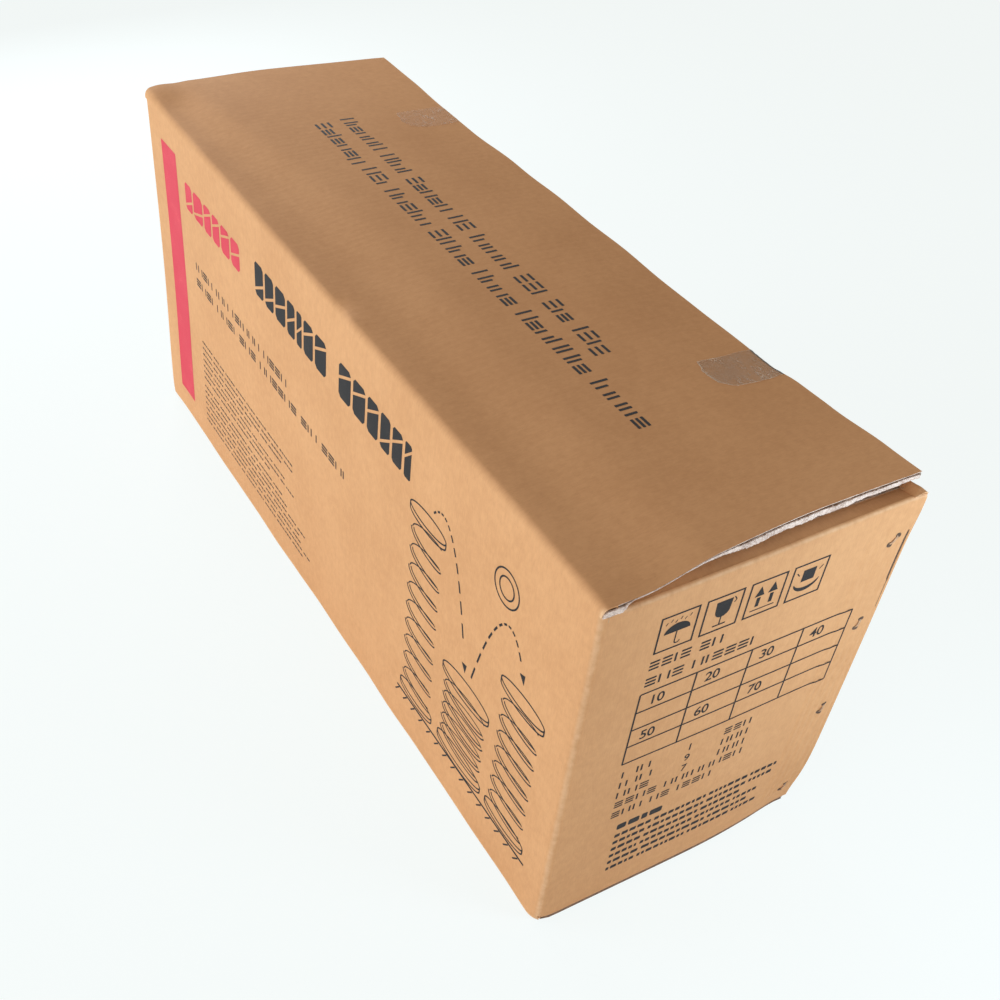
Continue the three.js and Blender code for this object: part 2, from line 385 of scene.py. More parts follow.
class Mesher:
    """Gathers grids and flat polygons of one piece, and makes them one mesh."""

    def __init__(self) -> None:
        """Starts with nothing gathered."""
        self.points: list[Array] = []
        self.faces: list[Array] = []
        self.finishes: list[Array] = []
        self.maps: list[Array] = []
        self.count = 0

    def add(self, points: Array, faces: Array, finish: int, flat: Array | None = None) -> None:
        """Adds points and the faces between them.

        Args:
            points: One row for each point.
            faces: One row of point numbers for each face, all with as many corners.
            finish: The material's number.
            flat: The points' places on the piece's own map, or None for zeros.
        """
        self.points.append(points)
        self.faces.append(faces + self.count)
        self.finishes.append(np.full(len(faces), finish))
        self.maps.append(np.zeros((len(points), 2)) if flat is None else flat)
        self.count += len(points)

    def grid(self, points: Array, finish: int = 0, flip: bool = False, flat: Array | None = None) -> None:
        """Adds a grid's four-sided faces, whose fronts face the rows' direction times the columns'.

        Args:
            points: Rows and columns of points.
            finish: The material's number.
            flip: True to face the other way.
            flat: The grid's places on the piece's own map.
        """
        rows, columns = points.shape[:2]
        number = np.arange(rows * columns).reshape(rows, columns)
        here, ahead = number[:-1, :-1], number[1:, :-1]
        beyond, beside = number[1:, 1:], number[:-1, 1:]
        around = (here, beside, beyond, ahead) if flip else (here, ahead, beyond, beside)
        faces = np.stack(around, axis=-1).reshape(-1, 4)
        self.add(points.reshape(-1, 3), faces, finish, None if flat is None else flat.reshape(-1, 2))

    def tube(self, loops: Array, half: int, finish: int = 0) -> None:
        """Adds closed loops carried along a path, and closes both ends across the loop.

        Args:
            loops: One loop to a row, with its first point again at its end.
            half: The number of points on each of the loop's two sides.
            finish: The material's number.
        """
        self.grid(loops, finish)
        for end in (loops[0], loops[-1]):
            self.grid(np.stack([end[:half], end[half : 2 * half][::-1]], axis=1), finish)

    def build(
        self,
        name: str,
        materials: Sequence[Finish],
        closed: bool = True,
        sharp: float = 38.0,
        bend: tuple[str, str, Triple, Triple] | None = None,
    ) -> bpy.types.Object:
        """Makes the mesh and its object, and presses it as the carton is pressed.

        Args:
            name: The piece's name.
            materials: The materials, in the faces' numbers.
            closed: True for a closed board, whose doubled points are merged and faces turned outwards.
            sharp: Edges that turn by more than this many degrees stay sharp.
            bend: The two bodies and the two places of a crease between bodies, or None; only whether it is
                given is used, and then the piece's transform is baked.

        Returns:
            The linked object, at the origin.
        """
        points = np.concatenate(self.points)
        loops = np.concatenate([faces.ravel() for faces in self.faces])
        corners = np.concatenate([np.full(len(faces), faces.shape[1]) for faces in self.faces])
        mesh = bpy.data.meshes.new(name)
        mesh.vertices.add(len(points))
        mesh.vertices.foreach_set("co", points.astype(np.float32).ravel())
        mesh.loops.add(len(loops))
        mesh.loops.foreach_set("vertex_index", loops.astype(np.int32))
        mesh.polygons.add(len(corners))
        starts = np.concatenate([[0], np.cumsum(corners)[:-1]])
        mesh.polygons.foreach_set("loop_start", starts.astype(np.int32))
        mesh.polygons.foreach_set("material_index", np.concatenate(self.finishes).astype(np.int32))
        mesh.update(calc_edges=True)
        # Each point's nearness to a crease, which the kraft paper turns into scuffing and a painted
        # highlight.
        wear_and_highlight_layer = mesh.attributes.new("wear_and_highlight", "FLOAT", "POINT")
        wear_and_highlight_layer.data.foreach_set("value", CRUMPLE.wear_and_highlight(points).astype(np.float32))
        places = mesh.uv_layers.new(name="piece_map")
        places.data.foreach_set("uv", np.concatenate(self.maps)[loops].astype(np.float32).ravel())
        mesh.validate()
        if closed:
            work = bmesh.new()
            work.from_mesh(mesh)
            bmesh.ops.remove_doubles(work, verts=work.verts, dist=2e-6)
            bmesh.ops.recalc_face_normals(work, faces=work.faces)
            work.to_mesh(mesh)
            work.free()
        mesh.polygons.foreach_set("use_smooth", np.ones(len(mesh.polygons), bool))
        mesh.set_sharp_from_angle(angle=math.radians(sharp))
        for material in materials:
            mesh.materials.append(material)
        piece = link(name, mesh)
        if bend:
            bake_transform(piece)
        CRUMPLE.press_mesh(mesh)
        return piece


def assign(piece: bpy.types.Object, slot: str, body: str, *nodes: str) -> None:
    """Puts a piece on its body, hides the nodes that it stands for, and logs its slot.

    Args:
        piece: The piece.
        slot: Its slot, which is only logged.
        body: The body that it rides on, or nothing for a crease between two bodies, which then rides on none.
        nodes: The nodes.
    """
    if body:
        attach(piece, body)
    if nodes:
        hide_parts(*nodes)
    LOG.info("%s: %s on %s", piece.name, slot, body or "two bodies")


class Signal:
    """A shader socket that takes part in Python arithmetic, each operation one Math node."""

    def __init__(self, recipe: "Recipe", socket: bpy.types.NodeSocket) -> None:
        """Holds the recipe and the socket."""
        self.recipe = recipe
        self.socket = socket

    def math(self, operation: str, *others: "Signal | float") -> "Signal":
        """Adds a Math node that takes this signal first and the others after it."""
        return self.recipe.node("Math", {"operation": operation}, dict(enumerate((self, *others))))

    def __add__(self, other: "Signal | float") -> "Signal":
        """Their sum."""
        return self.math("ADD", other)

    __radd__ = __add__

    def __sub__(self, other: "Signal | float") -> "Signal":
        """This less the other."""
        return self.math("SUBTRACT", other)

    def __rsub__(self, other: float) -> "Signal":
        """The other less this."""
        return self.recipe.node("Math", {"operation": "SUBTRACT"}, {0: other, 1: self})

    def __mul__(self, other: "Signal | float") -> "Signal":
        """Their product."""
        return self.math("MULTIPLY", other)

    __rmul__ = __mul__

    def off(self, value: float) -> "Signal":
        """How far this signal lies from a value."""
        return (self - value).math("ABSOLUTE")

    def step(self, low: float, high: float) -> "Signal":
        """A smooth step of this signal, from 0 at low to 1 at high."""
        return self.recipe.node("MapRange", {"interpolation_type": "SMOOTHSTEP"}, {0: self, 1: low, 2: high})


class Recipe:
    """The nodes of one material or one world."""

    def __init__(self, name: str, world: bool = False) -> None:
        """Makes the material or the world with an empty tree."""
        self.owner = (bpy.data.worlds if world else bpy.data.materials).new(name)
        self.owner.use_nodes = True
        self.tree = self.owner.node_tree
        self.tree.nodes.clear()

    def node(self, kind: str, settings: dict[str, str], inputs: Sockets, output: str | int = 0) -> Signal:
        """Adds a node: first its settings, then its sockets' values and links.

        Args:
            kind: Blender's type of the node, without its prefix.
            settings: Its properties.
            inputs: Values or signals, by socket name or number.
            output: The socket that the result comes from.

        Returns:
            That output, or the first input of a node that has no output.
        """
        made = self.tree.nodes.new(f"ShaderNode{kind}")
        for key, value in settings.items():
            setattr(made, key, value)
        for key, value in inputs.items():
            if isinstance(value, Signal):
                self.tree.links.new(value.socket, made.inputs[key])
            else:
                made.inputs[key].default_value = value
        return Signal(self, made.outputs[output] if made.outputs else made.inputs[0])

    def place(self) -> Signal:
        """The point's place in the frame."""
        return self.node("TexCoord", {}, {}, "Object")

    def part(self, vector: Signal, axis: int) -> Signal:
        """One coordinate of a vector."""
        return self.node("SeparateXYZ", {}, {0: vector}, axis)

    def seen(self) -> Signal:
        """1 for the rays that show a background: the camera's, reflected ones and those through film."""
        kinds = ("Camera", "Glossy", "Transmission")
        rays = [self.node("LightPath", {}, {}, f"Is {kind} Ray") for kind in kinds]
        return rays[0].math("MAXIMUM", rays[1]).math("MAXIMUM", rays[2])

    def scaled(self, vector: Signal, scale: Sequence[float], turn: float = 0.0) -> Signal:
        """A vector times a scale on each axis, then turned about Z."""
        return self.node("Mapping", {}, {"Vector": vector, "Scale": scale, "Rotation": (0.0, 0.0, turn)})

    def noise(self, vector: Signal, layer: Triple) -> Signal:
        """Blender's noise round one half, from its features to the metre, its octaves and its roughness."""
        inputs = dict(zip(("Scale", "Detail", "Roughness"), layer))
        return self.node("TexNoise", {}, {"Vector": vector, **inputs})

    def blend(self, share: Signal, low: Signal | Colour, high: Signal | Colour) -> Signal:
        """Mixes two colours, the first where the share is 0 and the second where it is 1."""
        paint = [tone if isinstance(tone, Signal) else (*tone, 1.0) for tone in (low, high)]
        return self.node("Mix", {"data_type": "RGBA"}, {0: share, 6: paint[0], 7: paint[1]}, 2)

    def bump(self, height: Signal, distance: float, strength: float, **under: Signal) -> Signal:
        """A bump as deep as the distance for a height of 1, over another normal where one is given."""
        return self.node("Bump", {}, {"Height": height, "Distance": distance, "Strength": strength, **under})

    def finish(self, colour: Signal, roughness: Signal | float, normal: Signal, others: Sockets) -> Finish:
        """Ends the material with one Principled shader.

        Args:
            colour: Its base colour.
            roughness: Its roughness.
            normal: Its bent normal.
            others: Its other sockets.

        Returns:
            The material.
        """
        inputs = {"Base Color": colour, "Roughness": roughness, "Normal": normal, **others}
        self.surface("Material", self.node("BsdfPrincipled", {}, inputs))
        return self.owner

    def surface(self, output: str, shader: Signal) -> None:
        """Sends a shader to the output of a material or a world."""
        self.node(f"Output{output}", {}, {"Surface": shader})


@dataclass(frozen=True)
class KraftLiner:
    """The brown paper face of a board, with its pulp, specks, washboard, and creases paled by scuffing and a
    painted highlight.
    """

    name: str
    flutes: Flutes
    light: Colour = (0.745, 0.392, 0.181)
    dark: Colour = (0.645, 0.324, 0.144)
    # The pale crease tone: scuffed paper and a painted highlight together.
    scuff_and_highlight: Colour = (0.95, 0.64, 0.38)
    speck: Colour = (0.36, 0.19, 0.09)
    cloud: Triple = (9.0, 4.0, 0.55)
    blotch: Triple = (140.0, 3.0, 0.6)
    threads: Triple = (900.0, 3.0, 0.6)
    grain: Triple = (1440.0, 2.0, 0.6)
    stretch: float = 0.18
    contrast: Triple = (1.1, 0.8, 0.9)
    pitch: float = 0.0079
    relief: float = 0.00005
    pulp_relief: float = 0.00022
    roughness: float = 0.78
    gloss: float = 0.12

    def material(self) -> Finish:
        """Makes the paper.

        Cloudy noise mixes the light and dark tones, long fine noise adds fibres, and rare peaks of a
        finer noise become specks. The flutes' ridges are a sine of the place along their axis.

        Returns:
            The material.
        """
        recipe = Recipe(self.name)
        place = recipe.place()
        cloud, blotch, grain = (recipe.noise(place, layer) for layer in (self.cloud, self.blotch, self.grain))
        stretch = [self.stretch] * 3
        stretch[self.flutes.value] = 1.0
        threads = recipe.noise(recipe.scaled(place, stretch), self.threads)
        layers = zip((cloud, blotch, threads), self.contrast)
        tone = sum(((layer - 0.5) * weight for layer, weight in layers), 0.45)
        # Near the creases the paper turns towards the pale tone: partly scuffed wear, partly a painted
        # highlight where the rounded crease catches the light.
        worn = recipe.node("Attribute", {"attribute_name": "wear_and_highlight"}, {}, "Fac") * (0.40 + blotch)
        worn = worn.step(0.25, 0.95) * 0.6
        paper = recipe.blend(tone.step(0.0, 1.0), self.dark, self.light)
        paper = recipe.blend(grain.step(0.66, 0.76) * 0.55, paper, self.speck)
        paper = recipe.blend(worn, paper, self.scuff_and_highlight)
        ridge = (recipe.part(place, self.flutes.value) * (TURN / self.pitch)).math("SINE") * 0.5 + 0.5
        washboard = recipe.bump(ridge, self.relief, 0.9)
        pulp = recipe.bump(grain * 0.5 + threads * 0.5, self.pulp_relief, 0.5, Normal=washboard)
        others = {"Specular IOR Level": self.gloss}
        return recipe.finish(paper, self.roughness - worn * 0.1, pulp, others)


@dataclass(frozen=True)
class CutPaper:
    """The core of a board where a blade or a tear opened it."""

    name: str
    pale: Colour
    deep: Colour
    fluff: Triple = (650.0, 4.0, 0.65)
    patches: Triple = (90.0, 2.0, 0.5)
    relief: float = 0.0006
    roughness: float = 0.9
    gloss: float = 0.15

    def material(self) -> Finish:
        """Makes the open paper, whose fine noise mixes a pale and a deep tone and lifts the fibres.

        Returns:
            The material.
        """
        recipe = Recipe(self.name)
        fluff, patches = (recipe.noise(recipe.place(), layer) for layer in (self.fluff, self.patches))
        paper = recipe.blend((fluff * 0.8 + patches * 0.5).step(0.42, 0.82), self.deep, self.pale)
        fibres = recipe.bump(fluff, self.relief, 0.7)
        return recipe.finish(paper, self.roughness, fibres, {"Specular IOR Level": self.gloss})


@dataclass(frozen=True)
class PressInk:
    """Flexographic ink, thin enough for the paper's fibres to show through it."""

    name: str
    full: Colour
    thin: Colour
    mottle: Triple = (1100.0, 3.0, 0.65)
    cloud: Triple = (45.0, 3.0, 0.5)
    relief: float = 0.0002
    roughness: float = 0.62
    gloss: float = 0.3

    def material(self) -> Finish:
        """Makes the ink, mottled by two scales of noise.

        Returns:
            The material.
        """
        recipe = Recipe(self.name)
        mottle, cloud = (recipe.noise(recipe.place(), layer) for layer in (self.mottle, self.cloud))
        paint = recipe.blend((mottle * 0.7 + cloud * 0.45).step(0.56, 0.86), self.full, self.thin)
        fibres = recipe.bump(mottle, self.relief, 0.35)
        others = {"Specular IOR Level": self.gloss}
        return recipe.finish(paint, self.roughness + mottle * 0.12, fibres, others)


@dataclass(frozen=True)
class TapeFilm:
    """Clear packing tape, with pale creases where it was pressed down badly, a painted highlight along its
    lifted rim and painted shade where it turns over.
    """

    name: str
    film: Colour = (0.36, 0.32, 0.265)
    ridge: Colour = (0.95, 0.72, 0.50)
    shade: Colour = (0.07, 0.055, 0.045)
    clear: float = 0.12
    # rim is the strength of the painted highlight along the lifted rim, and turned that of the painted shade
    # at the fold.
    rim: float = 0.75
    turned: float = 0.9
    turn_place: float = 0.53
    slant: float = 0.5
    stretch: Triple = (0.45, 1.4, 1.0)
    fold: Triple = (95.0, 2.0, 0.55)
    where: Triple = (60.0, 2.0, 0.5)
    cloud: Triple = (70.0, 3.0, 0.55)
    relief: float = 0.0012
    roughness: float = 0.24

    def material(self) -> Finish:
        """Makes the film.

        Its creases are where stretched noise crosses one half, thinned by a second noise. They are paler and
        hide more than the clean film does, and so does its lifted rim, whose pale line is a painted
        highlight.
        Where it turns over the free edge, painted shade darkens it.

        Returns:
            The material.
        """
        recipe = Recipe(self.name)
        place = recipe.place()
        fold = recipe.noise(recipe.scaled(place, self.stretch, self.slant), self.fold)
        where = recipe.noise(place, self.where).step(0.42, 0.66)
        crease = (1 - fold.off(0.5).step(0.0, 0.035)) * where * 0.8
        flat = recipe.node("UVMap", {"uv_map": "piece_map"}, {})
        across, along = recipe.part(flat, 0), recipe.part(flat, 1)
        # A painted highlight along the lifted rim, in the creases' pale tone.
        border = across.off(0.5).math("MAXIMUM", 0.5 - along).step(0.475, 0.495)
        lifted = where.math("MAXIMUM", 1 - along.step(0.12, 0.35))
        crease = crease.math("MAXIMUM", border * lifted * self.rim)
        # Painted shade where the film turns over the free edge.
        turn = (1 - along.off(self.turn_place).step(0.008, 0.018)) * self.turned
        paint = recipe.blend(turn, recipe.blend(crease, self.film, self.ridge), self.shade)
        haze = (0.4 + recipe.noise(place, self.cloud) * 1.2) * self.clear
        alpha = crease * 0.40 + haze + turn * 0.45
        ripples = recipe.bump(fold, self.relief, 0.35)
        return recipe.finish(paint, self.roughness + crease * 0.3, ripples, {"Alpha": alpha})


@dataclass(frozen=True)
class StapleWire:
    """Flat coppered stitching wire, dulled by handling."""

    name: str = "stitching_wire"
    bright: Colour = (0.62, 0.37, 0.20)
    dull: Colour = (0.38, 0.23, 0.14)
    stretch: Triple = (1.0, 0.2, 0.2)
    lines: Triple = (2400.0, 2.0, 0.6)
    patches: Triple = (420.0, 2.0, 0.5)
    relief: float = 0.0001
    roughness: float = 0.5
    metal: float = 0.4

    def material(self) -> Finish:
        """Makes the wire, with drawn lines and dull patches.

        Returns:
            The material.
        """
        recipe = Recipe(self.name)
        place = recipe.place()
        lines = recipe.noise(recipe.scaled(place, self.stretch), self.lines)
        tone = (lines * 0.5 + recipe.noise(place, self.patches) * 0.7).step(0.4, 0.8)
        paint = recipe.blend(tone, self.dull, self.bright)
        drawn = recipe.bump(lines, self.relief, 0.4)
        return recipe.finish(paint, self.roughness + lines * 0.3, drawn, {"Metallic": self.metal})


@dataclass(frozen=True)
class Palette:
    """Every material of the carton, each made once."""

    liner_x: Finish
    liner_y: Finish
    inside_x: Finish
    inside_y: Finish
    core: Finish
    torn: Finish
    black: Finish
    red: Finish
    tape: Finish
    clear_tape: Finish
    seam_tape: Finish
    wire: Finish
    painted_shade: Finish


def inside_liner(name: str, flutes: Flutes) -> Finish:
    """The greyer paper inside the carton, whose flutes show more."""
    # The pale crease tone here is also partly a painted highlight.
    tones = {"light": (0.640, 0.400, 0.225), "dark": (0.545, 0.325, 0.175), "scuff_and_highlight": (0.74, 0.52, 0.34)}
    return KraftLiner(name, flutes, relief=0.00009, **tones).material()


PALETTE = Palette(
    liner_x=KraftLiner("kraft_outside_long", Flutes.ALONG_X).material(),
    liner_y=KraftLiner("kraft_outside_end", Flutes.ALONG_Y).material(),
    inside_x=inside_liner("kraft_inside_long", Flutes.ALONG_X),
    inside_y=inside_liner("kraft_inside_end", Flutes.ALONG_Y),
    # The open flute paper's own tone, deepened with painted shade for cut edges and flutes that lie in
    # shadow.
    core=CutPaper("flute_paper_with_painted_shade", (0.44, 0.28, 0.18), (0.20, 0.12, 0.075)).material(),
    torn=CutPaper("torn_paper", (0.95, 0.77, 0.65), (0.46, 0.31, 0.24)).material(),
    black=PressInk("black_ink", (0.010, 0.008, 0.008), (0.050, 0.036, 0.028)).material(),
    red=PressInk("red_ink", (0.66, 0.045, 0.070), (0.76, 0.090, 0.105)).material(),
    tape=TapeFilm("packing_tape_film").material(),
    clear_tape=TapeFilm("packing_tape_clear", (0.66, 0.50, 0.39), clear=0.07, rim=0.1, turned=0.0).material(),
    seam_tape=TapeFilm("packing_tape_strip", rim=0.3, turned=0.0).material(),
    wire=StapleWire().material(),
    # A near-black paper for painted shade: the slit's shadow and the dark marks where the staples pierce the
    # board.
    painted_shade=CutPaper("painted_shade_paper", (0.15, 0.095, 0.065), (0.07, 0.045, 0.03)).material(),
)


@dataclass(frozen=True)
class CutEdge:
    """The rim of a double-wall board: three papers with two open flute layers between them."""

    paper: float = 0.09
    middle: float = 0.47
    inset: float = 0.0026
    near_pitch: float = 0.0062
    far_pitch: float = 0.0079
    ply: float = 0.00022
    root: float = 0.0003
    torn_change: float = 0.75
    torn_cell: float = 0.004

    def outward(self, grid: Array, side: int) -> Array:
        """The unit vectors off a grid's side, which is numbered as in Board.side."""
        lines = grid if side < 2 else np.swapaxes(grid, 0, 1)
        return unit(lines[0] - lines[1] if side % 2 == 0 else lines[-1] - lines[-2])

    def comb(self, top: Array, under: Array, out: Array, ragged: float) -> Array:
        """The rim's section carried along it: out at each paper, and in by the inset at each flute layer.

        Args:
            top: The outer sheet's side.
            under: The inner sheet's side.
            out: The outward directions.
            ragged: The share by which the inset varies along the rim.

        Returns:
            A grid of the rim's points and its section's points.
        """
        borders = [0, self.paper, self.middle, self.middle + self.paper, 1 - self.paper, 1]
        levels = np.repeat(borders, (1, 2, 2, 2, 2, 1))
        sinks = np.array([0, 0, 1, 1, 0, 0, 1, 1, 0, 0]) * self.inset
        change = rough(run_along(top)[:, None], levels[None, :] * 0.02, self.torn_cell, 31)
        change = 1 - ragged * (0.5 + 0.5 * change)
        through = (under - top)[:, None, :] * levels[None, :, None]
        return top[:, None, :] + through - out[:, None, :] * (sinks * change)[..., None]

    def waves(self, top: Array, under: Array, out: Array) -> list[Array]:
        """The two fluted papers: each height is a sine of the run along the rim, carried in by the inset.

        Args:
            top: The outer sheet's side.
            under: The inner sheet's side.
            out: The outward directions.

        Returns:
            Closed grids, one for each layer.
        """
        run = run_along(top)
        half = self.ply / np.linalg.norm(under[0] - top[0])
        deep = self.inset * 1.05
        section = [(-half, self.root), (half, self.root), (half, deep), (-half, deep)]
        near = (self.paper, self.middle, self.near_pitch)
        made = []
        for low, high, pitch in (near, (self.middle + self.paper, 1 - self.paper, self.far_pitch)):
            fine = np.arange(0, run[-1], pitch / 10)
            upper, lower, away = (at_runs(line, run, fine) for line in (top, under, out))
            centre = (low + high) / 2 + ((high - low) / 2 - half) * np.sin(TURN * fine / pitch)
            loop = [
                upper + (lower - upper) * (centre + shift)[:, None] - away * sink
                for shift, sink in (*section, section[0])
            ]
            made.append(np.stack(loop, axis=1))
        return made


CUT_EDGE = CutEdge()


@dataclass
class Board:
    """A board of the carton: an outer and an inner sheet on one lattice, and the rim between them."""

    name: str
    body: str
    node: str
    outer: Array
    inner: Array
    rims: Rims = (CLOSED, CLOSED, CLOSED, CLOSED)

    def side(self, sheet: Array, number: int) -> Array:
        """One side of a sheet: first row, last row, first column or last column."""
        return (sheet[0], sheet[-1], sheet[:, 0], sheet[:, -1])[number]

    def build(self, skin: Finish, lining: Finish) -> None:
        """Makes the board, with its rims' flutes in a second piece where they are open.

        Args:
            skin: The outer paper.
            lining: The inner paper.
        """
        mesher, flutes = Mesher(), Mesher()
        mesher.grid(self.outer, 0)
        mesher.grid(self.inner, 1, flip=True)
        for number, rim in enumerate(self.rims):
            top, under = self.side(self.outer, number), self.side(self.inner, number)
            if rim is CLOSED:
                mesher.grid(np.stack([top, under], axis=1), 0)
                continue
            out = CUT_EDGE.outward(self.outer, number)
            comb = CUT_EDGE.comb(top, under, out, CUT_EDGE.torn_change if rim is TORN else 0.0)
            # The outer paper's cut edge is drawn in the pale torn paper: cut paper's own paler fibres with a
            # painted highlight along the edge.
            mesher.grid(comb[:, :2], 3)
            mesher.grid(comb[:, 1:], 2)
            for wave in CUT_EDGE.waves(top, under, out) if rim is OPEN else ():
                flutes.grid(wave, 0)
        piece = mesher.build(self.name, [skin, lining, PALETTE.core, PALETTE.torn])
        assign(piece, "board", self.body, self.node)
        if flutes.count:
            extra = flutes.build(self.name + "_flutes", [PALETTE.core], closed=False)
            assign(extra, "board", self.body)


def slab(
    name: str, body: str, node: str, x: Array, y: Array, top: Array, thick: Array | float, rims: Rims
) -> Board:
    """A lying board, from its upper face and its thickness."""
    return Board(name, body, node, merge(x, y, top), merge(x, y, top - thick), rims)


@dataclass(frozen=True)
class Wall:
    """An upright panel of the carton, seen from outside, with its own gentle bulge.

    Its lower corner along the axis is mitred. The joint tab shows through the panel that ends in a cut.
    """

    name: str
    node: str
    flutes: Flutes
    outward: int
    corner: Corner
    foot: float
    foot_round: float
    top_round: float
    bulge: float
    seed: int
    step: float = 0.007
    fine: float = 0.0015
    margin: float = 0.009
    wave: float = 0.0007
    wave_cell: float = 0.085
    tab_edge: float = 0.099
    tab_low: float = 0.022
    tab_high: float = 0.366
    tab_fades: Box = (0.003, 0.002, 0.010, 0.030)
    flat_side: float = 0.004
    ridge: float = 0.00050
    ridge_pitch: float = 0.0079
    ridge_least: float = 0.35
    ridge_until: float = 0.27
    ridge_fade: float = 0.10
    slit_place: float = 0.1412
    slit_height: float = 0.326
    slit_half: float = 0.026
    slit_depth: float = 0.0034
    slit_wide: float = 0.0008
    slit_fade: float = 0.010

    @property
    def long_side(self) -> bool:
        """True for a panel that runs along X."""
        return self.flutes is Flutes.ALONG_X

    @property
    def half(self) -> float:
        """Half the panel's length."""
        return HALF if self.long_side else SIDE

    @property
    def face(self) -> float:
        """The distance of its flat face from the carton's middle."""
        return SIDE if self.long_side else HALF

    def swell(self, along: Array, up: Array) -> Array:
        """The outward bulge: its height and a smooth random wave, times a window that is flat at the sides.

        The window is the product, for both directions, of (1 - the squared share of the half length) squared.
        Over the joint tab the flutes add a sine, and the slit sinks in as the exponential of minus a square.

        Args:
            along: Places along the panel.
            up: Heights above the floor.

        Returns:
            The bulge at each place.
        """
        middle = (RIM + self.foot) / 2
        across = np.clip(along / (self.half - self.flat_side), -1, 1)
        rise = np.clip((up - middle) / (middle - self.foot), -1, 1)
        window = (1 - across**2) ** 2 * (1 - rise**2) ** 2
        edge = np.sqrt(np.clip(window, 0, 1))
        swell = self.bulge * window + self.wave * edge * rough(along, up, self.wave_cell, self.seed)
        if self.corner is not Corner.CUT:
            return swell
        inside = (along - self.tab_edge, self.half - along, up - self.tab_low, self.tab_high - up)
        over_tab = math.prod(ease(depth / fade) for depth, fade in zip(inside, self.tab_fades))
        strong = ease((self.ridge_until - up) / self.ridge_fade)
        strength = self.ridge_least + (1 - self.ridge_least) * strong
        ridges = np.sin(TURN * along / self.ridge_pitch) * strength
        above = up - self.slit_height
        length = math.prod(ease((self.slit_half + sign * above) / self.slit_fade) for sign in (1, -1))
        slit = self.slit_depth * length * np.exp(-(((along - self.slit_place) / self.slit_wide) ** 2))
        return swell + over_tab * self.ridge * (1 + ridges) - slit

    def world(self, along: Array, sink: Array, up: Array) -> Array:
        """Points in the frame from places along the panel, depths below its flat face, and heights."""
        depth = self.outward * (self.face - sink)
        return merge(along, depth, up) if self.long_side else merge(depth, along, up)

    def lay(self, along: Array, up: Array, lift: float = PRINT_LIFT) -> Array:
        """Points that stand off the panel's outer face by a lift, for what is printed or stuck on it."""
        return self.world(along, -self.swell(along, up) - lift, up)

    def corner_run(self, corner: Corner) -> tuple[Array, Array, float]:
        """The outer face's plan at a corner.

        Args:
            corner: How the panel ends there.

        Returns:
            Runs past the tangent point, sinks below the face, and the distance of the tangent point from the
            panel's middle.
        """
        if corner is Corner.CUT:
            return np.zeros(1), np.zeros(1), self.half
        if corner is Corner.MITRE:
            return *quarter(CREASE, math.pi / 4, 5), self.half - CREASE
        return *quarter(CREASE, count=8), self.half - BOARD - GAP - CREASE

    def board(self) -> Board:
        """Works out both sheets of the panel.

        Returns:
            The board.
        """
        low_run, low_sink, low_edge = self.corner_run(Corner.MITRE)
        high_run, high_sink, high_edge = self.corner_run(self.corner)
        flat = spread(-low_edge, high_edge, self.step, self.fine, self.margin)
        along = np.concatenate([(-low_edge - low_run)[:0:-1], flat, high_edge + high_run[1:]])
        plan = np.concatenate([low_sink[:0:-1], np.zeros(len(flat)), high_sink[1:]])
        foot_run, foot_sink = quarter(self.foot_round)
        top_run, top_sink = quarter(self.top_round, count=6 if self.top_round else 1)
        base, crest = self.foot + self.foot_round, RIM - self.top_round
        middle = spread(base, crest, 0.007, 0.0015, 0.010)
        up = np.concatenate([(base - foot_run)[:0:-1], middle, crest + top_run[1:]])
        tilt = np.concatenate([foot_sink[:0:-1], np.zeros(len(middle)), top_sink[1:]])
        a, z = lattice(along, up)
        outer = self.world(a, plan[:, None] + tilt - self.swell(a, z), z)
        low_in, foot_in = BOARD - self.half, self.foot + BOARD
        ends_in = {Corner.MITRE: -low_in, Corner.FOLD: along[-1] - SIZES.tab, Corner.CUT: along[-1]}
        high_in = ends_in[self.corner]
        a_in = low_in + (a - along[0]) / (along[-1] - along[0]) * (high_in - low_in)
        z_in = foot_in + (z - up[0]) / (up[-1] - up[0]) * (RIM - BOARD - foot_in)
        inner = self.world(a_in, BOARD - self.swell(a, z), z_in)
        order = -1 if self.long_side == (self.outward > 0) else 1
        ends = (CLOSED, TORN if self.corner is Corner.CUT else CLOSED)
        rims = (*ends[::order], CLOSED, CLOSED)
        return Board(self.name, "carton_body", self.node, outer[::order], inner[::order], rims)


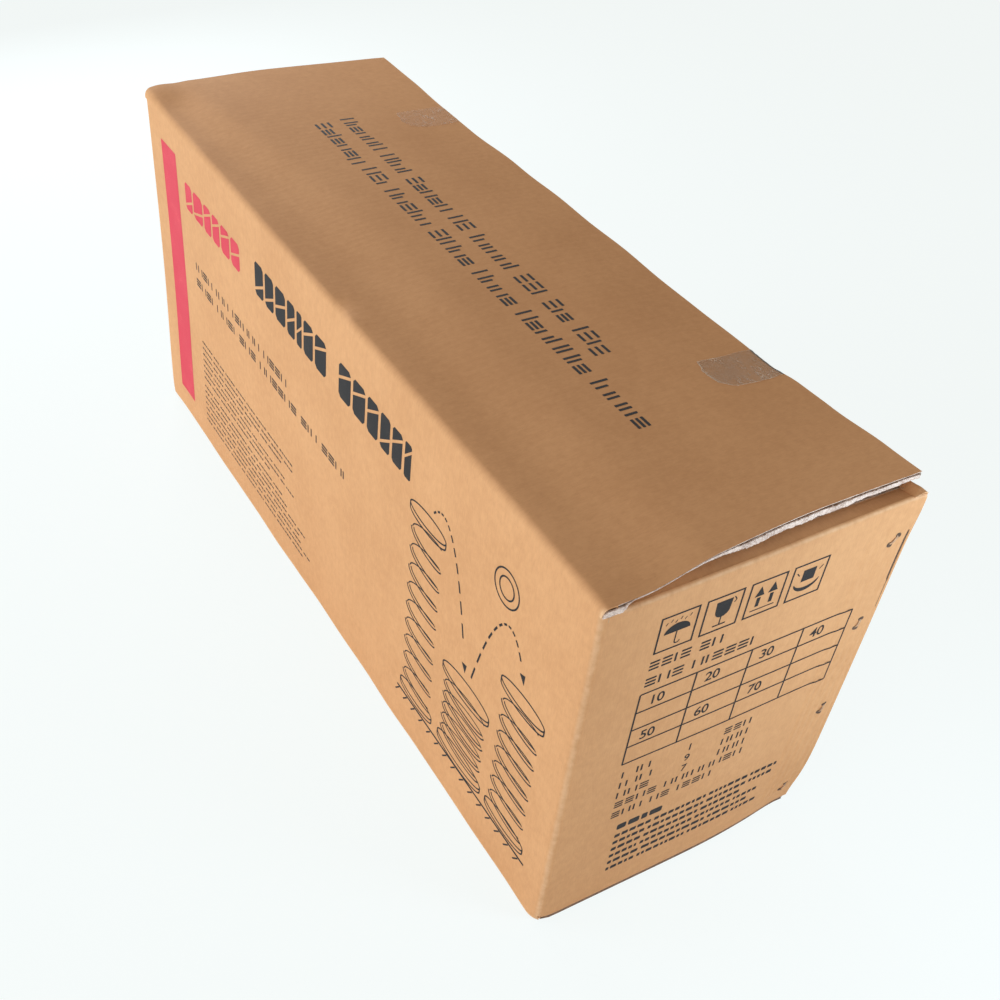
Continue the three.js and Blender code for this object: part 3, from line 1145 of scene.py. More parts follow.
@dataclass(frozen=True)
class LidShape:
    """The shape in which the closed lid's two long boards lie."""

    near_end: float = 0.428
    skew: float = 0.012
    skew_from: float = 0.065
    ramp_near: float = -0.115
    ramp_far: float = -0.134
    ramp_length: float = 0.070
    ramp_short: float = 0.030
    rise: float = 0.0073
    droop: Stations = (
        (-0.44, 0.0068), (-0.36, 0.0066), (-0.27, 0.0072), (0.262, 0.0068), (0.296, 0.0048),
        (0.335, 0.0040), (0.395, 0.0002), (0.43, -0.0003),
    )
    droop_near: float = 0.055
    droop_more: float = 0.100
    sag: float = 0.0016
    sag_length: float = 0.33
    sag_width: float = 0.150
    wave: float = 0.0005
    wave_cell: float = 0.09
    pinch: float = 0.0060
    pinch_reach: float = 0.014
    thin_corner: float = 0.0016
    flat_corner: float = 0.0020
    bed: float = 0.70
    crush_outer: float = 0.30
    crush_inner: float = 0.65

    def near_edge(self, y: Array) -> Array:
        """The cut near end: further out towards the hinge, by a smooth step of the width."""
        return self.near_end + self.skew * ease((self.skew_from - y) / (self.skew_from + SIDE))

    def far_share(self, x: Array) -> Array:
        """1 at the far end, falling to 0 near the carton's middle."""
        return ease(-(x + 0.05) / 0.39)

    def sink(self, x: Array, y: Array) -> Array:
        """How far the taped free edge is pressed down: its course along the carton times a smooth step."""
        start = self.droop_near - self.droop_more * self.far_share(x)
        return course(x, self.droop) * ease((y - start) / (SIDE + 0.010 - start))

    def hollow(self, x: Array, y: Array) -> Array:
        """The sag of both boards between the end flaps: the product of two flat-ended windows."""
        shares = (x / self.sag_length, y / self.sag_width)
        along, across = (np.clip(1 - share**2, 0, 1) ** 2 for share in shares)
        return self.sag * along * across

    def top(self, x: Array, y: Array) -> Array:
        """The outer board's upper face: one board high at the hinge, then a smooth rise to two boards.

        Args:
            x: Places along the carton.
            y: Places across it.

        Returns:
            Heights.
        """
        far = self.far_share(x)
        start = self.ramp_near + (self.ramp_far - self.ramp_near) * far
        climb = self.rise * ease((y - start) / (self.ramp_length - self.ramp_short * far))
        wave = self.wave * ease((y + 0.125) / 0.05) * rough(x, y, self.wave_cell, 41)
        return TOP + climb - self.sink(x, y) - self.hollow(x, y) + wave

    def thickness(self, x: Array, y: Array) -> Array:
        """The outer board's thickness: crushed where it is pressed down, and pinched at the near end.

        Args:
            x: Places along the carton.
            y: Places across it.

        Returns:
            Thicknesses.
        """
        window = ease((y + 0.128) / 0.006) * ease((-0.005 - y) / 0.075)
        near = np.exp(-(((self.near_edge(y) - x) / self.pinch_reach) ** 2))
        thin = self.pinch * window + self.thin_corner * ease((y - 0.06) / 0.08)
        return BOARD - self.crush_outer * self.sink(x, y) - thin * near

    def crush(self, x: Array, y: Array) -> Array:
        """How flat the inner board is pressed at its near corner, by smooth steps along and across."""
        along = ease((x - 0.405) / 0.020) + ease((x - 0.432) / 0.008)
        return self.flat_corner * along * ease((y - 0.075) / 0.060)

    def inner_top(self, x: Array, y: Array) -> Array:
        """The inner board's upper face: just below the upper board, and never above its own steady height."""
        under = self.top(x, y) - self.thickness(x, y) - GAP
        return np.minimum(under, TOP - self.sink(x, y) * self.bed - self.hollow(x, y) - self.crush(x, y))

    def under_thickness(self, x: Array, y: Array) -> Array:
        """The inner board's thickness, crushed more along its own crease."""
        return BOARD - self.crush_inner * self.sink(x, y) - self.crush(x, y)

    def lay(self, x: Array, y: Array, lift: float = PRINT_LIFT) -> Array:
        """Points that stand off the outer board's upper face by a lift."""
        return merge(x, y, self.top(x, y) + lift)


LID = LidShape()


@dataclass
class CartonBody:
    """The four walls, the glued and stitched joint, and the taped bottom."""

    front: Wall = Wall(
        "front_side_board", "front_side_panel", Flutes.ALONG_X, -1, Corner.MITRE,
        foot=0.0, foot_round=0.0025, top_round=0.0, bulge=0.0022, seed=51,
    )
    label: Wall = Wall(
        "label_end_board", "label_end_panel", Flutes.ALONG_Y, 1, Corner.CUT,
        foot=0.0073, foot_round=0.0025, top_round=0.0035, bulge=0.0010, seed=52, step=0.0016, fine=0.0004,
    )
    back: Wall = Wall(
        "back_side_board", "back_side_panel", Flutes.ALONG_X, 1, Corner.FOLD,
        foot=0.0073, foot_round=0.006, top_round=0.0, bulge=0.0022, seed=53,
    )
    far: Wall = Wall(
        "far_end_board", "far_end_panel", Flutes.ALONG_Y, -1, Corner.MITRE,
        foot=0.0073, foot_round=0.004, top_round=0.0035, bulge=0.0012, seed=54,
    )
    tab_tip: float = 0.0957
    tab_foot: float = 0.0236
    tab_top: float = 0.3577
    tab_taper: float = 0.013
    staples: Stations = ((0.0361, 1.28), (0.1520, 1.28), (0.2566, 1.28), (0.3462, 0.88))
    staple_place: float = 0.128
    staple_half: float = 0.0041
    staple_wide: float = 0.0013
    staple_proud: float = 0.0006
    staple_reach: tuple[float, ...] = (-0.0025, 0.0, 0.0, 0.0002, 0.0, -0.0012)
    shade_along: float = 0.0023
    shade_across: float = 0.0032
    shade_out: float = 0.0008
    bottom_half: float = 0.4327
    bottom_back: float = 0.1377
    bottom_outer: Box = (-0.435, 0.4376, -0.139, 0.1445)

    def walls(self) -> None:
        """Builds the four panels."""
        for wall in (self.front, self.label, self.back, self.far):
            skin = PALETTE.liner_x if wall.long_side else PALETTE.liner_y
            wall.board().build(skin, PALETTE.inside_x if wall.long_side else PALETTE.inside_y)

    def slit_shadow(self) -> None:
        """Lays a strip of painted shadow in the slit beside the joint, which tapers into a hairline below it.
        """
        above = np.linspace(-0.056, self.label.slit_half, 60)
        half = self.label.slit_wide * ease((above + 0.030) / 0.012) * ease((0.027 - above) / 0.006) + 0.00022
        y = self.label.slit_place + np.stack([-half, half])
        mesher = Mesher()
        mesher.grid(self.label.lay(y, np.broadcast_to(self.label.slit_height + above, y.shape)))
        assign(mesher.build("joint_slit_painted_shadow", [PALETTE.painted_shade], closed=False), "board", "carton_body")

    def tab(self) -> None:
        """Builds the joint tab behind the end panel, its two ends slanted by the taper."""
        fold = SIDE - CREASE
        face = HALF - BOARD - GAP
        y, share = lattice(spread(self.tab_tip, fold, 0.005), np.linspace(0, 1, 60))
        slant = self.tab_taper * (fold - y) / (fold - self.tab_tip)
        z = self.tab_foot + slant + share * (self.tab_top - self.tab_foot - 2 * slant)
        outer, inner = merge(face, y, z), merge(face - SIZES.tab, y, z)
        rims = (TORN, CLOSED, CLOSED, CLOSED)
        board = Board("joint_tab_board", "carton_body", "joint_tab", outer, inner, rims)
        board.build(PALETTE.inside_y, PALETTE.inside_y)

    def staple(self, height: float, lean: float, number: int) -> None:
        """Builds one slanted wire stitch: a crown outside, two legs through the board and two clinched ends.

        The wire's flat section is carried along a path that bends down at both ends of the crown, and a
        dark disc of painted shade lies round each leg, where the wire dives into the board.

        Args:
            height: The crown's middle above the floor.
            lean: Its angle from the floor.
            number: Its number from the bottom.
        """
        inside = HALF - BOARD - GAP - SIZES.tab - self.staple_proud
        slant = np.array([0.0, math.cos(lean), math.sin(lean)])
        side = np.array([0.0, -slant[2], slant[1]])
        reach = self.staple_half + np.array(self.staple_reach)
        run = np.concatenate([reach, [0.0], -reach[::-1]])
        rise = [inside, inside, inside + 0.002, HALF - 0.002, HALF - 0.0002, HALF + 0.0004]
        depth = np.array([*rise, HALF + self.staple_proud, *rise[::-1]])
        bulge = self.label.swell(np.array(self.staple_place), np.array(height))
        path = run[:, None] * slant + merge(depth + bulge, self.staple_place, height)
        up = np.cross(unit(np.gradient(path, axis=0)), side)
        turn = np.linspace(0, TURN, 13)
        section = np.sign(np.cos(turn)) * np.abs(np.cos(turn)) ** 0.6 * self.staple_wide
        rise = np.sign(np.sin(turn)) * np.abs(np.sin(turn)) ** 0.8 * self.staple_proud / 2
        tube = path[:, None, :] + section[None, :, None] * side + rise[None, :, None] * up[:, None, :]
        mesher = Mesher()
        mesher.grid(tube, 0)
        for end in (tube[0], tube[-1]):
            mesher.grid(np.stack([end, np.broadcast_to(end[:-1].mean(0), end.shape)], axis=0), 0)
        piece = mesher.build(f"joint_staple_wire_{number}", [PALETTE.wire])
        assign(piece, "staple_wire", "carton_body", f"joint_staple_{number}")
        # Painted shade: a dark disc round each leg, where the wire dives into the board.
        shade_marks = Mesher()
        angle, radius = lattice(np.linspace(0, TURN, 25), np.array([0.0, 0.4, 0.75, 1.0]))
        for end in (-1.0, 1.0):
            along = end * (self.staple_half + self.shade_out) + radius * np.cos(angle) * self.shade_along
            over = radius * np.sin(angle) * self.shade_across
            y = self.staple_place + along * slant[1] + over * side[1]
            z = height + along * slant[2] + over * side[2]
            shade_marks.grid(self.label.lay(y, z, 0.0001), 0, flip=True)
        pressed = shade_marks.build(f"joint_staple_painted_shade_{number}", [PALETTE.painted_shade], closed=False)
        assign(pressed, "board", "carton_body")

    def bottom(self) -> None:
        """Builds the four bottom boards, the lowest one first.

        Each is a flat grid between two corners, whose upper face has a slight smooth random wave.
        """
        wide, tip, side = self.bottom_half, SIZES.flap_tip, SIZES.flap_side
        inner = (-wide, wide, SIZES.inner_edge, self.bottom_back)
        boards = (
            ("outer", self.bottom_outer, 0, (TORN, TORN, CLOSED, OPEN), PALETTE.liner_x),
            ("inner", inner, 1, (TORN, TORN, OPEN, CLOSED), PALETTE.inside_x),
            ("label_end", (tip, wide, -side, side), 2, (OPEN, CLOSED, TORN, TORN), PALETTE.inside_y),
            ("far_end", (-wide, -tip, -side, side), 2, (CLOSED, OPEN, TORN, TORN), PALETTE.inside_y),
        )
        for word, box, storey, rims, skin in boards:
            x, y = lattice(spread(*box[:2], 0.010), spread(*box[2:], 0.010))
            thick = BOARD + 0.00025 * rough(x, y, 0.07, 61) - 0.00025
            top = storey * (BOARD + GAP) + thick
            board = slab(f"bottom_{word}_board", "carton_body", f"bottom_{word}_flap", x, y, top, thick, rims)
            board.build(skin, skin)

    def build(self) -> None:
        """Builds the whole body."""
        self.walls()
        self.slit_shadow()
        self.tab()
        for index, (height, lean) in enumerate(self.staples):
            self.staple(height, lean, index + 1)
        self.bottom()


@dataclass
class Lid:
    """The four lid boards, the creases that they turn on, and the torn paper at their near ends."""

    inner_far: float = -0.435
    inner_back: float = 0.012
    crease_start: float = -0.133
    crease_flat: float = -0.137
    lining_start: float = -0.131
    lining_flat: float = -0.1345
    lining_foot: float = 0.376
    lining_turn: float = 0.0006
    band: float = 0.0007
    flap_band: float = 0.007
    wall_round: float = 0.0035
    corner_strip: float = 0.0095
    setback: float = 0.004
    crease_end: float = 0.4395
    tear_step: float = 0.0006
    tear_cells: tuple[float, ...] = (0.0016, 0.007, 0.0013, 0.006, 0.018)
    tear_sways: Box = (0.05, 0.07, 0.07, 0.10)
    tear_root: float = 0.0008
    fluff_cell: float = 0.0011
    fluff_stretch: float = 0.004

    def outer_board(self) -> None:
        """Builds the full-width upper board."""
        share = (spread(-1, 1, 0.0145, 0.002, 0.02) + 1) / 2
        share, y = lattice(share, spread(self.crease_start, SIDE, 0.006, 0.0015, 0.012))
        x = -HALF + share * (LID.near_edge(y) + HALF)
        top, thick, rims = LID.top(x, y), LID.thickness(x, y), (TORN, TORN, CLOSED, OPEN)
        board = slab("outer_lid_board", "outer_lid", "top_outer_flap", x, y, top, thick, rims)
        board.build(PALETTE.liner_x, PALETTE.inside_x)

    def inner_board(self) -> None:
        """Builds the partial board below it, which follows the upper board's shape."""
        x, y = lattice(
            spread(self.inner_far, LID.near_end - self.setback, 0.010, 0.002, 0.01),
            spread(SIZES.inner_edge, SIDE - self.inner_back, 0.006, 0.0015, 0.01),
        )
        top, thick, rims = LID.inner_top(x, y), LID.under_thickness(x, y), (TORN, TORN, OPEN, CLOSED)
        board = slab("inner_lid_board", "inner_lid", "top_inner_flap", x, y, top, thick, rims)
        board.build(PALETTE.liner_x, PALETTE.inside_x)

    def end_board(self, sign: int, label: str) -> None:
        """Builds one end flap, which droops a little from its crease to its free edge.

        Args:
            sign: 1 for the label end and -1 for the far end.
            label: The end's name.
        """
        tip, side = SIZES.flap_tip, SIZES.flap_side
        root = HALF - BOARD - self.flap_band
        along = spread(tip, root, 0.006, 0.0015, 0.008)[::sign]
        x, y = lattice(along, spread(-side, side, 0.008, 0.002, 0.008))
        fall = ((root - x) / (root - tip)) ** 2 * 0.0012
        top = RIM - fall + 0.0002 * rough(x, y, 0.06, 71 + sign) - 0.0002
        rims = (*(OPEN, CLOSED)[::sign], TORN, TORN)
        board = slab(f"{label}_lid_board", f"{label}_lid", f"top_{label}_flap", sign * x, y, top, BOARD, rims)
        board.build(PALETTE.liner_y, PALETTE.inside_y)

    def ribbon(self, mesher: Mesher, profile: Array, stations: Array, axis: int, finish: int) -> None:
        """Adds a paper strip: its profile's outline, closed one paper thick, carried along an axis.

        Args:
            mesher: Gathers the strip.
            profile: Rows of the two coordinates across the strip, along its outer face.
            stations: Places along the axis.
            axis: 0 for a strip along X and 1 for a strip along Y.
            finish: The material's number.
        """
        loop = np.concatenate([profile, (profile - aside(profile) * self.band)[::-1], profile[:1]])
        along, number = lattice(stations, np.arange(len(loop)))
        across, up = loop[number, 0], loop[number, 1]
        points = merge(along, across, up) if axis == 0 else merge(across, along, up)
        mesher.tube(points, len(profile), finish)

    def front_crease(self) -> None:
        """Builds the upper board's crease: a rounded strip outside, and a folded one inside."""
        runs, sinks = quarter(CREASE, count=9)
        corner, under, foot = BOARD - SIDE, TOP - BOARD, self.lining_foot
        turn = merge(sinks - SIDE, TOP - CREASE + runs)
        outside = np.concatenate([[[-SIDE, RIM]], turn, [[self.crease_flat, TOP], [self.crease_start, TOP]]])
        inside = np.array([
            [self.lining_start, under], [self.lining_flat, under], [corner + self.lining_turn, under],
            [corner, under - self.lining_turn], [corner, foot + 0.0035], [corner, foot],
        ])
        mesher = Mesher()
        self.ribbon(mesher, outside, spread(-HALF, HALF, 0.005), 0, 0)
        self.ribbon(mesher, inside, spread(-HALF, HALF, 0.01), 0, 1)
        bend = ("carton_body", "outer_lid", (0, -SIDE, under), (0, corner, TOP))
        assign(mesher.build("front_lid_crease", [PALETTE.liner_x, PALETTE.inside_x], bend=bend), "board", "")

    def back_crease(self) -> None:
        """Builds the inner board's crease on the back wall, crushed as that board is.

        Outside, its section climbs from the wall as the cosine and sine of a quarter turn. Past the inner
        board's end its inner side sinks by a smooth step to the end flap.
        """
        stations = spread(self.inner_far, self.crease_end, 0.006, 0.0015, 0.02)
        start, band, wall = SIDE - self.inner_back, self.band, SIDE - BOARD
        edge = np.full_like(stations, start)
        crown = LID.inner_top(stations, edge)
        turn = np.linspace(0.0, math.pi / 2, 8)
        rise = (crown - band - RIM)[:, None]
        held = (1 - ease((stations - LID.near_end + self.setback + self.inner_back) / 0.011))[:, None]
        shape_y = SIDE - CREASE * (1 - np.cos(turn))
        y_row = np.array([SIDE, *shape_y, SIDE - 0.009, start])
        crest = [(rise + band / 2) * (0.45 + 0.55 * held), (rise + band) * held]
        z_rows = RIM + np.concatenate([0 * rise, rise * np.sin(turn), *crest], axis=1)
        under = np.clip(z_rows - band, RIM - 0.001, None)
        y_under = np.array([SIDE - band, *(shape_y - band * np.cos(turn)), *y_row[-2:]])
        mesher = Mesher()
        self.sheet(mesher, stations, (y_row, z_rows), (y_under, under), 0)
        kept = stations < LID.near_end
        floor = (crown - LID.under_thickness(stations, edge))[kept]
        inner_y = np.array([start, wall - 0.0005, wall, wall])
        inner_z = merge(floor, floor, floor - self.lining_turn, self.lining_foot)
        skin = inner_y + band * np.array([0, 1, 1, 1]), inner_z + band * np.array([1, 1, 1, 0])
        self.sheet(mesher, stations[kept], (inner_y, inner_z), skin, 1)
        bend = ("carton_body", "inner_lid", (0, SIDE, RIM), (0, wall, TOP))
        assign(mesher.build("back_lid_crease", [PALETTE.liner_x, PALETTE.inside_x], bend=bend), "board", "")

    def sheet(
        self, mesher: Mesher, x: Array, face: tuple[Array, Array], under: tuple[Array, Array], finish: int
    ) -> None:
        """Adds a paper that runs along X: two faces of one width whose heights change along it.

        Args:
            mesher: Gathers the paper.
            x: Places along it.
            face: Places across its one face, and heights, one row for each place along it.
            under: The same of its other face.
            finish: The material's number.
        """
        loop_y = np.concatenate([face[0], under[0][::-1], face[0][:1]])
        loop_z = np.concatenate([face[1], under[1][:, ::-1], face[1][:, :1]], axis=1)
        mesher.tube(merge(x[:, None], loop_y, loop_z), len(face[0]), finish)

    def end_crease(self, sign: int, label: str) -> None:
        """Builds an end flap's crease: a strip above and one below, between the wall and the flap.

        Args:
            sign: 1 for the label end and -1 for the far end.
            label: The end's name.
        """
        wall = HALF - BOARD
        root = wall - self.flap_band
        above = merge(sign * np.linspace(HALF - self.wall_round + 0.0006, root, 9), RIM - 0.00015)
        below = merge(sign * np.linspace(wall + 0.001, root, 7), RIM - BOARD - 0.0001)
        stations = spread(-SIZES.flap_side, SIZES.flap_side + self.corner_strip * (sign > 0), 0.008)
        mesher = Mesher()
        self.ribbon(mesher, above[::-sign], stations, 1, 0)
        self.ribbon(mesher, below[::sign], stations, 1, 1)
        level = RIM - BOARD / 2
        bend = ("carton_body", f"{label}_lid", (sign * wall, 0, level), (sign * root, 0, level))
        piece = mesher.build(f"{label}_lid_crease", [PALETTE.liner_y, PALETTE.inside_y], bend=bend)
        assign(piece, "board", "")

    def torn_band(
        self, body: str, line: Array, under: Array, span: Pair, seed: int, proud: float, paper: Finish
    ) -> None:
        """Builds ragged paper fibres that a blunt blade left along a cut end.

        The band stands off the cut by a smooth random depth, less where the board is pinched, and its two
        borders wander by finer noise.

        Args:
            body: The lid body that it rides on, whose name begins its own.
            line: Rows of points along the cut's upper border.
            under: Rows of points along its lower border.
            span: Its share of the board's thickness, from top to bottom.
            seed: Picks the noise.
            proud: How far it stands off the cut at most.
            paper: Its finish.
        """
        run = run_along(line)
        fine = np.arange(0, run[-1], self.tear_step)
        spine, floor = at_runs(line, run, fine), at_runs(under, run, fine)
        noise = [rough(fine, 0 * fine, cell, seed + step) for step, cell in enumerate(self.tear_cells)]
        sways = [sway * wander for sway, wander in zip(self.tear_sways, noise)]
        high = span[0] + sways[0] + sways[1]
        low = span[1] + sways[2] + sways[3]
        share = np.linspace(0, 1, 6)
        level = high[:, None] + (low - high)[:, None] * share[None, :]
        cover = ease(0.5 + 1.3 * noise[4])[:, None]
        fluff = rough(fine[:, None], share[None, :] * self.fluff_stretch, self.fluff_cell, seed + 5)
        fluff = 0.5 + 0.5 * fluff
        full = np.clip(np.linalg.norm(floor - spine, axis=1) / BOARD, 0, 1)[:, None]
        crown = 0.25 + 0.75 * np.sin(math.pi * share)
        depth = proud * full * (0.25 + 0.75 * cover) * crown * (0.4 + 0.6 * fluff)
        cut = spine[:, None, :] + level[..., None] * (floor - spine)[:, None, :]
        out = np.array([1.0, 0.0, 0.0])
        front, behind = cut + depth[..., None] * out, cut - self.tear_root * out
        mesher = Mesher()
        mesher.tube(np.concatenate([front, behind[:, ::-1], front[:, :1]], axis=1), len(share))
        assign(mesher.build(f"{body}_torn_end", [paper]), "board", body)

    def torn_ends(self) -> None:
        """Builds the torn paper of both long boards' near ends."""
        y = spread(-SIDE + 0.001, SIDE - 0.001, 0.004)
        x = LID.near_edge(y)
        top = LID.top(x, y)
        upper = merge(x, y, top - self.rounding(CREASE - SIDE - y))
        lower = merge(x, y, top - LID.thickness(x, y))
        self.torn_band("outer_lid", upper, lower, (0.42, 1.10), 101, 0.0024, PALETTE.torn)
        y = spread(SIZES.inner_edge, SIDE - 0.001, 0.004)
        x = np.full_like(y, LID.near_end - self.setback)
        top = LID.inner_top(x, y)
        upper = merge(x, y, top - self.rounding(y - SIDE + CREASE))
        lower = merge(x, y, top - LID.under_thickness(x, y))
        # The inner board's torn paper is drawn in the dark flute paper: painted shade, as it lies in the
        # shadow of the upper board.
        self.torn_band("inner_lid", upper, lower, (0.02, 0.30), 131, 0.0012, PALETTE.core)

    def rounding(self, past: Array) -> Array:
        """How far a rounded crease falls, by the circle's height at a distance past its tangent point."""
        held = np.clip(past, 0, CREASE)
        return CREASE - np.sqrt(CREASE**2 - held**2)

    def build(self) -> None:
        """Builds the whole lid."""
        self.outer_board()
        self.inner_board()
        self.front_crease()
        self.back_crease()
        for sign, label in ((1, "label_end"), (-1, "far_end")):
            self.end_board(sign, label)
            self.end_crease(sign, label)
        self.torn_ends()


@dataclass(frozen=True)
class Tapes:
    """The two tape patches over the lid's free edge, and the strip that closes the bottom."""

    near_place: float = 0.262
    far_place: float = -0.266
    width: float = 0.046
    top_leg: float = 0.064
    back_leg: float = 0.056
    seam_half: float = 0.426
    seam_leg: float = 0.024
    bend: float = 0.0015
    proud: float = 0.00035
    thick: float = 0.0002
    narrow: float = 0.11
    narrow_until: float = 0.058
    narrow_fade: float = 0.05
    side_fray: Pair = (0.03, 0.013)
    clipped: float = 0.004
    end_reach: float = 0.03
    end_fray: Pair = (0.0022, 0.008)
    end_fluff: Pair = (0.0008, 0.0021)
    end_round: Pair = (0.009, 0.003)
    ridge: Pair = (0.0005, 0.007)
    ridge_slant: Pair = (0.5, 0.35)
    ridge_start: float = 0.01
    free_leg: float = 0.012
    free_fade: float = 0.02

    def film(self, name: str, body: str, node: str, path: Array, flat: Array, tape: Finish) -> None:
        """Builds a film from its outer face's points, a fifth of a millimetre thick.

        Args:
            name: The piece's name.
            body: The body that it rides on.
            node: The node that it stands for.
            path: A grid of points, whose rows run along the carton.
            flat: The points' shares of the film's width and length.
            tape: The film's material.
        """
        normal = unit(np.cross(np.gradient(path, axis=0), np.gradient(path, axis=1)))
        under = path - normal * self.thick
        mesher = Mesher()
        mesher.grid(path, 0, flat=flat)
        mesher.grid(under, 0, flip=True, flat=flat)
        for face in (path, under), (np.swapaxes(path, 0, 1), np.swapaxes(under, 0, 1)):
            for row in (0, -1):
                mesher.grid(np.stack([face[0][row], face[1][row]], axis=1), 0)
        assign(mesher.build(name, [tape]), "packing_tape", body, node)

    def patch(self, side: str, place: float, seed: int, tape: Finish) -> None:
        """Builds one lid patch, which lies on the lid, turns over its free edge and hangs down the back.

        Its inner end is ragged, and low ridges run across it.

        Args:
            side: The word that begins its name.
            place: Its middle along the carton.
            seed: Picks the ridges.
            tape: The film.
        """
        edge = SIDE + self.proud
        arc = self.bend * math.pi / 2
        turned, hung = np.linspace(0.0004, arc, 5), arc + np.linspace(0.001, self.back_leg, 30)
        legs = np.concatenate([np.linspace(0, self.top_leg, 46), self.top_leg + turned, self.top_leg + hung])
        share, s = lattice(np.linspace(-1, 1, 34), legs)
        right = np.clip(share, 0, 1)
        narrow = 1 - self.narrow * ease((self.narrow_until - s) / self.narrow_fade)
        narrow += self.side_fray[0] * rough(s, 0 * s, self.side_fray[1], seed + 3)
        clipped = self.clipped * right * ease(s / self.end_reach - 1)
        x = place + share * narrow * self.width / 2 - clipped
        frays = enumerate((self.end_fray, self.end_fluff))
        ragged = sum(depth * rough(x, 0 * x, cell, seed + step) for step, (depth, cell) in frays)
        rounded = self.end_round[0] * right**4 + self.end_round[1] * share**4
        flat = merge(share / 2 + 0.5, s / legs[-1])
        s = s + np.clip(1 - s / self.end_reach, 0, 1) * (ragged + rounded)
        y = np.minimum(edge - self.bend - self.top_leg + s, edge - self.bend)
        turn = np.clip((s - self.top_leg) / self.bend, 0, math.pi / 2)
        hang = np.clip(s - self.top_leg - arc, 0, None)
        top = LID.top(x, np.minimum(y, SIDE)) + self.proud
        drift, pace = self.ridge_slant
        ridge = self.ridge[0] * np.abs(rough(x + s * drift, s * pace, self.ridge[1], seed + 2))
        ridge *= np.clip(s / self.ridge_start, 0, 1)
        y = y + (self.bend + ridge) * np.sin(turn)
        z = top - self.bend * (1 - np.cos(turn)) - hang + ridge * np.cos(turn)
        back = np.where(hang > self.free_leg, CARTON.back.swell(x, z), 0.0)
        back = back * ease((hang - self.free_leg) / self.free_fade)
        self.film(f"{side}_lid_film", "outer_lid", f"{side}_lid_tape", merge(x, y + back, z), flat, tape)

    def seam(self) -> None:
        """Builds the bottom strip, folded from the floor up the back."""
        edge = SIDE + 2 * self.thick
        under = np.linspace(edge - self.seam_leg, edge - self.bend, 12)
        turn = np.linspace(0, math.pi / 2, 6)[1:]
        up = np.linspace(self.bend + 0.002, self.seam_leg, 12)
        y_row = np.concatenate([under, edge - self.bend + self.bend * np.sin(turn), np.full_like(up, edge)])
        z_row = 0.0001 + np.concatenate([np.zeros_like(under), self.bend * (1 - np.cos(turn)), up])
        x, number = lattice(spread(-self.seam_half, self.seam_half, 0.008), np.arange(len(y_row)))
        ragged = 0.001 * rough(number * 0.002, 0 * x, 0.004, 17)
        x = x + ragged * (np.abs(x) > self.seam_half - 0.004)
        flat = merge(x / self.seam_half / 2 + 0.5, number / (len(y_row) - 1))
        path = merge(x, y_row[number], z_row[number])
        self.film("bottom_seam_film", "carton_body", "bottom_seam_tape", path, flat, PALETTE.seam_tape)

    def build(self) -> None:
        """Builds the three films."""
        self.patch("near", self.near_place, 201, PALETTE.tape)
        self.patch("far", self.far_place, 211, PALETTE.clear_tape)
        self.seam()


CARTON = CartonBody()


